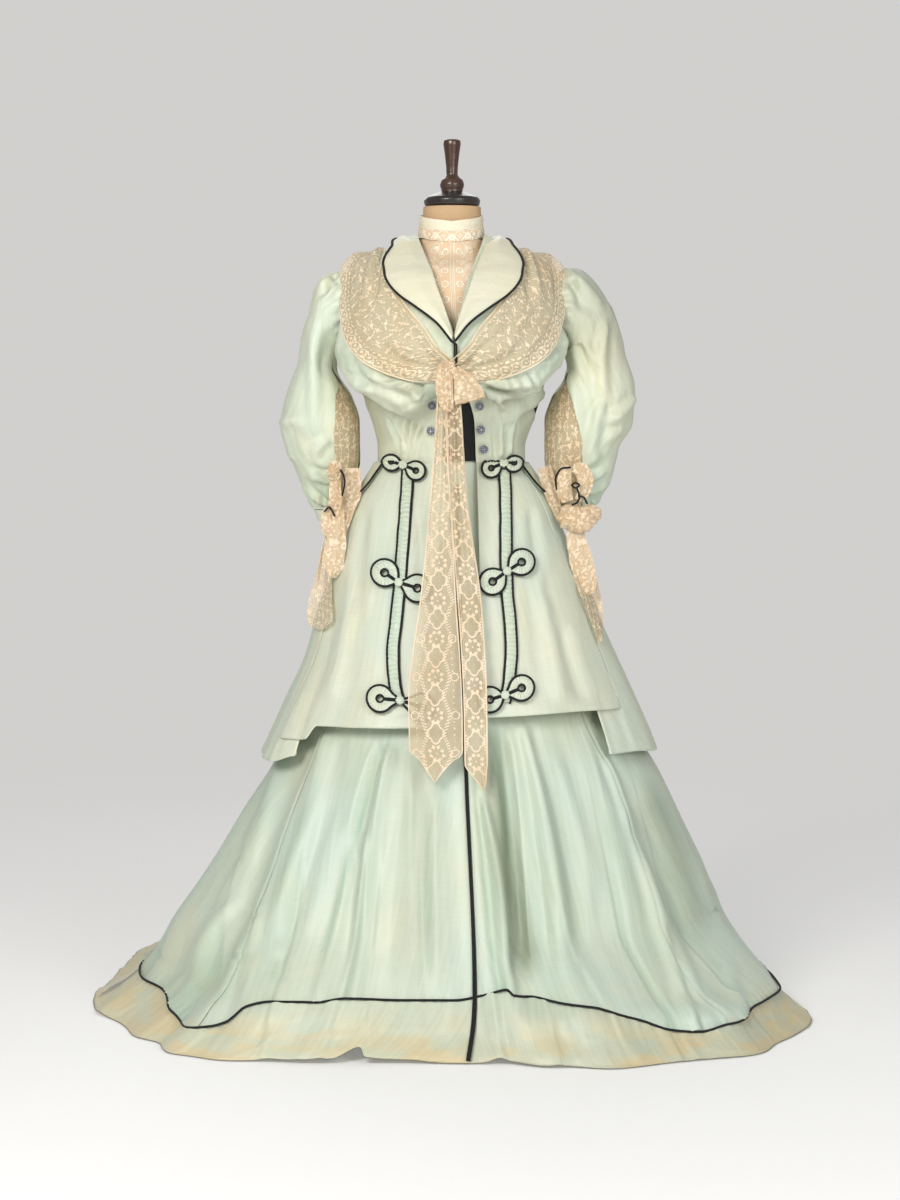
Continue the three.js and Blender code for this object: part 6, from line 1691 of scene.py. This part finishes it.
def make_tails():
    for name, tab, rows, extra in (("right", TAIL_RIGHT, 370, 0), ("left", TAIL_LEFT, 370, -3)):
        reach = lambda x, height, extra=extra: column(TAIL_REACH, "height", "reach", height) + extra
        tail = hanging_strip("lace_ribbon_" + name, tab, reach, 62, rows, 171 + 4 * extra, tail_motif)
        cut_piece(tail, LACE_TAIL, "lace", "hung", "lace_knot", "lace_tail_" + name)


def lace_ribbon(rows, pleats=2, depth=1.6, seed=181, puff=3.0):
    """A soft ribbon seen flat from the front. Each row is X, height, width and Y of its middle."""
    tab = table("x z width y", rows)
    tab["k"] = np.arange(len(rows), dtype=float)
    at = np.linspace(0, len(rows) - 1, max(int(16 * (len(rows) - 1)), 30))
    x, z, width, y = (column(tab, "k", key, at) for key in ("x", "z", "width", "y"))
    ahead = unit(np.stack([np.gradient(x), 0 * x, np.gradient(z)], -1))
    across = np.stack([ahead[:, 2], 0 * x, -ahead[:, 0]], -1)
    share = np.linspace(-0.5, 0.5, 30)
    along = np.arange(len(at))[:, None] + 0 * share
    edge = 1 + 0.10 * (noise(along / 7, np.sign(share) * 3 + 0 * along, seed) - 0.5)
    points = np.stack([x, y, z], -1)[:, None] + across[:, None] * (width[:, None] * share * edge)[..., None]
    fold = depth * np.cos(2 * math.pi * (pleats * share + 0.4 * noise(along / 9, 0 * along, seed + 1)))
    lift = puff * np.cos(math.pi * share) + fold + 1.6 * (layered(along / 5, share * 9 + 20, seed + 2) - 0.5)
    points[..., 1] -= lift
    return points.reshape(-1, 3), grid_quads(len(at), len(share))


def lace_puff(x, z, y, half_width, half_height, depth, seed):
    """A ruffled puff of lace seen from the front, with an uneven rim."""
    turn = np.linspace(0, 2 * math.pi, 72, endpoint=False)[None]
    share = np.linspace(0.02, 1, 16)[:, None]
    rim = 1 + 0.16 * (noise(turn * 2.2 + 3, 0 * turn, seed) - 0.5)
    ruffle = np.sin(9 * turn + 5 * noise(turn * 1.3, share * 2, seed + 1))
    out = share * rim * (1 + 0.05 * ruffle * share)
    px = x + half_width * out * np.cos(turn)
    pz = z + half_height * out * np.sin(turn)
    swell = np.sqrt(np.clip(1 - share ** 2, 0, 1))
    crumpled = 3.2 * (layered(px / 9, pz / 9, seed + 2) - 0.5)
    py = y - depth * swell - 1.8 * ruffle * share + crumpled
    return np.stack([px, py, pz], -1).reshape(-1, 3), grid_quads(16, 72, closed=True)


def lace_trim(name, parts, node=None, slot="lace"):
    """One joined piece of ribbons and puffs, with a small broken motif."""
    verts = np.concatenate([p[0] for p in parts])
    motif = np.clip(layered(verts[:, 0] / 3.4, verts[:, 2] / 3.4, 181, 2) * 3.2 - 1.25, 0, 1)
    piece = joined(name, parts, {"motif": motif})
    return piece_of(piece, LACE_TRIM, slot, *([node] if node else []))


def make_bow():
    """A soft uneven bow: a drooping loop, a fan-shaped one and the wrapped knot."""
    x, y, z = KNOT
    parts = [
        lace_ribbon([(-10, 1140, 22, y + 4), (-13, 1126, 28, y), (-13, 1102, 30, y - 2), (-11, 1080, 27, y),
                     (-7, 1058, 12, y + 4)], 2, 1.8, 181),
        lace_ribbon([(-2, 1132, 12, y + 2), (-4, 1112, 15, y + 1), (-3, 1086, 14, y + 2),
                     (-1, 1062, 8, y + 4)],
                    1, 1.4, 184),
        lace_ribbon([(5, 1134, 10, y + 2), (13, 1121, 24, y - 4), (22, 1104, 40, y - 6),
                     (28, 1088, 51, y - 4),
                     (31, 1077, 54, y + 1), (30, 1080, 50, y + 6)], 2, 2.0, 187, 5.0),
        lace_puff(x - 2, z - 3, y - 1, 12, 14, 6, 190),
    ]
    lace_trim("lace_knot", parts, "lace_bow")


# ---------------------------------------------------------------- sleeves and cuffs
def make_sleeves():
    """Puffed sleeves of silk with a lace gore on the inner side, and the small cuffs."""
    end = SLEEVE_ROWS["along"][-1]
    start = GORE_EDGE["along"][0]
    for name, side in SIDES:
        surface = lambda angle, along, side=side: sleeve_point(SLEEVE_ROWS, side, angle, along)

        def gore_edges(along, name=name):
            outer = column(GORE_EDGE, "along", name, along)
            inner = column(GORE_EDGE, "along", "inner", along)
            shut = 1 - smooth(along, start - 0.4, start + 0.3)
            return mix(outer, (outer + inner) / 2, shut), mix(inner, (outer + inner) / 2, shut)

        def silk_place(s, t, side=side, edges=gore_edges):
            outer, inner = edges(end * t)
            return side * mix(inner + 0.2, outer + FULL_TURN - 0.2, s if side == LEFT else 1 - s), end * t

        def relief(points, s, t, u, v, name=name):
            along = end * t
            off = creases(points[..., 0], points[..., 2], SLEEVE_CREASES[name])
            off = off * smooth(-points[..., 1], -10, 25)
            head = (1 - smooth(along, 0.1, 1.6)) * smooth(along, 0.0, 0.25)
            off = off + 2.6 * head * np.sin(s * 2 * math.pi * 17 + 3 * noise(s * 9, along, 191))
            wrist = smooth(along, 6.9, 8.6)
            off = off + 1.8 * wrist * np.sin(s * 2 * math.pi * 13 + 4 * noise(s * 7, along * 0.8, 193))
            body = smooth(along, 0.2, 1.4) * (1 - 0.6 * smooth(along, 7.6, 9))
            off = off + 1.0 * crumple(u / 50, v / 120, 195) * body
            off = off + 0.35 * crumple(u / 19, v / 34, 196) * body
            return off + 2.2 * (layered(u / 55, v / 150, 197) - 0.5) * body

        sleeve, _ = cloth("silk_sleeve_" + name, surface, silk_place, 130, 120, relief=relief,
                          colours={"cool": sleeve_cool, "shade": sleeve_shade}, centre="rows")
        cut_piece(sleeve, SILK, "taffeta", "gathered", "silk_bodice_front_" + name, "sleeve_" + name)

        def lace_place(s, t, side=side, edges=gore_edges):
            along = mix(start, end, t)
            outer, inner = edges(along)
            return side * mix(outer - 1.5, inner + 1.5, s if side == LEFT else 1 - s), along

        gore, _ = cloth("lace_sleeve_" + name, surface, lace_place, 54, 112, lift=-0.8,
                        relief=lambda points, s, t, u, v: 3.0 * (layered(u / 20, v / 70, 199) - 0.5),
                        colours={"motif": gore_motif}, centre=(side * 230, 0))
        cut_piece(gore, LACE_GORE, "lace", "gathered", "silk_sleeve_" + name, "sleeve_lace_" + name)

        cuff_surface = lambda angle, along, side=side: sleeve_point(CUFF_ROWS, side, angle, along)
        cuff, _ = cloth("silk_cuff_" + name, cuff_surface, lambda s, t: (FULL_TURN * s, 2.0 * t), 90, 20,
                        relief=lambda points, s, t, u, v: 0.4 * crumple(u / 16, v / 12, 203),
                        colours={"cool": lambda *a: 0.2}, closed=True, turned=("high",), centre="rows")
        cut_piece(cuff, SILK, "taffeta", "gathered", "silk_sleeve_" + name, "cuff_" + name)
        make_cuff_trim(name)


def sleeve_shade(points, s, t, u, v):
    """Painted shade on the top of the left sleeve."""
    return 0.42 * smooth(points[..., 0], 165, 200) * smooth(points[..., 2], 1090, 1190)


def sleeve_cool(points, s, t, u, v):
    """Bluer silk in patches, and towards the wrist."""
    low = 1 - smooth(points[..., 2], 900, 1010)
    return np.clip(0.22 * smooth(layered(u / 60, v / 80, 110), 0.48, 0.72) + 0.40 * low, 0, 0.8)


# Lace on the cuffs: ribbons as X, height, width and Y; puffs as X, height, Y and half sizes.
CUFF_RIBBONS = {
    "right": [
        [(-203, 974, 12, -84), (-206, 962, 24, -88), (-207, 950, 24, -90), (-207, 940, 16, -86)],
        [(-205, 944, 20, -80), (-205, 926, 21, -84), (-205, 908, 23, -84), (-208, 888, 24, -78)],
        [(-214, 890, 16, -70), (-218, 876, 25, -76), (-218, 858, 26, -78), (-216, 842, 20, -74),
         (-215, 832, 10, -68)],
        [(-177, 960, 30, -56), (-176, 922, 33, -54), (-184, 894, 30, -58), (-190, 866, 22, -64),
         (-198, 826, 10, -70)],
        [(-200, 908, 14, -70), (-202, 870, 26, -76), (-203, 834, 33, -82), (-208, 800, 39, -88),
         (-208, 780, 28, -88),
         (-207, 768, 8, -86)],
    ],
    "left": [
        [(206, 964, 16, -84), (197, 950, 24, -90), (196, 924, 26, -90), (203, 902, 20, -82)],
        [(212, 962, 18, -86), (228, 956, 26, -90), (233, 938, 28, -90), (230, 918, 22, -84),
         (222, 904, 14, -80)],
        [(163, 962, 24, -52), (172, 928, 28, -50), (182, 896, 20, -54), (190, 866, 8, -60)],
        [(216, 860, 30, -70), (220, 826, 36, -78), (228, 796, 41, -84), (234, 768, 41, -86),
         (236, 744, 30, -84),
         (236, 738, 12, -82)],
    ],
}
CUFF_PUFFS = {
    "right": [(-208, 956, -90, 12, 12, 7)],
    "left": [(211, 874, -78, 26, 23, 16), (242, 880, -74, 22, 17, 13), (226, 868, -84, 30, 21, 13)],
}
CUFF_CORDS = {
    "right": [
        [(-196, 958, -92), (-190, 948, -92), (-188, 936, -90), (-190, 924, -88), (-193, 912, -84)],
        [(-224, 884, -80), (-216, 892, -84), (-211, 886, -84), (-206, 876, -82)],
    ],
    "left": [
        [(208, 962, -94), (194, 961, -94), (185, 952, -94), (181, 940, -92), (184, 922, -88)],
        [(219, 925, -94), (223, 910, -94), (219, 900, -92), (210, 896, -90)],
        [(221, 912, -92), (230, 910, -92), (237, 898, -88)],
        [(209, 931, -96), (216, 935, -96), (223, 931, -96), (216, 926, -96), (209, 931, -96)],
    ],
}


def make_cuff_trim(name):
    """Lace loops, puffs and a hanging tail at the wrist, with the velvet edge of the cuff."""
    tab = CUFF_TAIL[name]
    deepest = CUFF_KNOT[name][1]

    def reach(x, height):
        against = angle_at(PEPLUM_RINGS, SKIRT_CORNER, x, height)
        behind = peplum(against, height)[..., 1] - 17.5
        return -np.minimum(deepest, behind)

    tail = hanging_strip(f"lace_cuff_tail_{name}", tab, reach, 46, 130, 211, gore_motif)
    cut_piece(tail, LACE, "lace", "hung", "lace_cuff_knot_" + name, "cuff_tail_" + name)
    parts = [lace_ribbon(rows, 2, 1.3, 220 + k) for k, rows in enumerate(CUFF_RIBBONS[name])]
    parts += [lace_puff(x, z, y, a, b, depth, 240 + k)
              for k, (x, z, y, a, b, depth) in enumerate(CUFF_PUFFS[name])]
    lace_trim("lace_cuff_knot_" + name, parts, "cuff_rosette_" + name)
    cords = []
    for line in CUFF_CORDS[name]:
        tab = {"k": np.arange(len(line), dtype=float), **dict(zip("xzy", np.array(line, float).T))}
        at = np.linspace(0, len(line) - 1, 8 * len(line))
        path = np.stack([column(tab, "k", key, at) for key in "xyz"], -1)
        cords.append(tube_arrays(path, 1.7, up=(0, 1, 0)))
    piece_of(joined("velvet_cuff_edge_" + name, cords), VELVET, "velvet")


def cut_piece(piece, material, slot, held, rests_on, *nodes):
    """A sewn piece: its looks and what it stands for; held, for how its flat cut is held, is not used."""
    piece_of(piece, material, slot, *nodes)
    return piece


# ---------------------------------------------------------------- light, floor and camera
def floor_material():
    made, tree, shader = new_material("floor_white")
    place = add_node(tree, "TexCoord").outputs["Object"]
    away = add_node(tree, "VectorMath", {0: place, 1: (0.0, -1.2, 0.0)}, operation="DISTANCE")
    apart = away.outputs["Value"]
    tree.links.new(steps(tree, apart, 1.3, 5.0, 1.0, 0.0), shader.inputs["Alpha"])
    shader.inputs["Base Color"].default_value = colour(0.80, 0.795, 0.79)
    shader.inputs["Emission Color"].default_value = colour(1.0, 0.99, 0.975)
    shader.inputs["Emission Strength"].default_value = 0.18
    shader.inputs["Roughness"].default_value = 0.9
    shader.inputs["Specular IOR Level"].default_value = 0.1
    return made


def backdrop():
    """A plain grey dome that only the camera sees."""
    made, _, shader = new_material("backdrop_grey")
    shader.inputs["Base Color"].default_value = colour(0, 0, 0)
    shader.inputs["Specular IOR Level"].default_value = 0.0
    shader.inputs["Emission Color"].default_value = colour(0.635, 0.628, 0.614)
    shader.inputs["Emission Strength"].default_value = 1.0
    lat = np.linspace(-89, 89, 24)
    profile = [(14000 * math.cos(math.radians(a)), 14000 * math.sin(math.radians(a))) for a in lat]
    turn = np.linspace(0, 2 * math.pi, 48, endpoint=False)
    points = np.array([[(r * math.cos(a), r * math.sin(a), z) for a in turn] for r, z in profile])
    dome = make_mesh("backdrop", points.reshape(-1, 3), grid_quads(len(profile), 48, closed=True))
    dome.data.materials.append(made)
    dome.visible_diffuse = False
    dome.visible_glossy = False
    dome.visible_shadow = False
    dome.visible_transmission = False


def area_light(name, place, aim, size, energy, tint=(1, 1, 1)):
    light = bpy.data.lights.new(name, "AREA")
    light.size = size
    light.energy = energy
    light.color = tint
    lamp = bpy.data.objects.new(name, light)
    lamp.location = place
    lamp.rotation_euler = (Vector(aim) - Vector(place)).to_track_quat("-Z", "Y").to_euler()
    bpy.context.scene.collection.objects.link(lamp)


def studio():
    scene = bpy.context.scene
    turn = np.linspace(0, 2 * math.pi, 96, endpoint=False)
    radii = np.array([0.001, 0.4, 1.0, 2.0, 3.5, 5.5])[:, None] * 1000
    points = np.stack([radii * np.cos(turn), radii * np.sin(turn) - 1200, 0 * radii * turn], -1)
    floor = make_mesh("floor", points.reshape(-1, 3), grid_quads(6, 96, closed=True))
    floor.data.materials.append(floor_material())
    backdrop()
    area_light("key", (-1.7, -3.9, 2.8), (0, 0, 0.8), 1.6, 135, (1.0, 0.985, 0.955))
    area_light("fill", (2.2, -3.8, 2.0), (0, 0, 0.9), 2.0, 66, (0.97, 0.985, 1.0))
    area_light("back", (-0.5, 3.2, 3.0), (0, 0, 0.9), 2.4, 30)
    world = bpy.data.worlds.new("studio")
    world.use_nodes = True
    world.node_tree.nodes["Background"].inputs["Color"].default_value = colour(0.34, 0.34, 0.335)
    scene.world = world
    scene.view_settings.view_transform = "Standard"
    camera = bpy.data.cameras.new("camera")
    camera.lens = 84
    camera.sensor_width = 36
    eye = bpy.data.objects.new("camera", camera)
    eye.location = (-0.0036, -5.0, 1.05)
    eye.rotation_euler = (math.radians(86.26), 0, 0)
    scene.collection.objects.link(eye)
    scene.camera = eye


# ---------------------------------------------------------------- the whole dress
dress_form()
skirt_trim(make_skirt())
make_peplum()
for one_side, _ in SIDES:
    ruched_band(one_side)
make_scrolls()
make_bodice()
for button in BUTTONS:
    rosette_button(*button)
make_collar()
make_neck()
make_bertha()
make_bow()
make_tails()
make_sleeves()
studio()
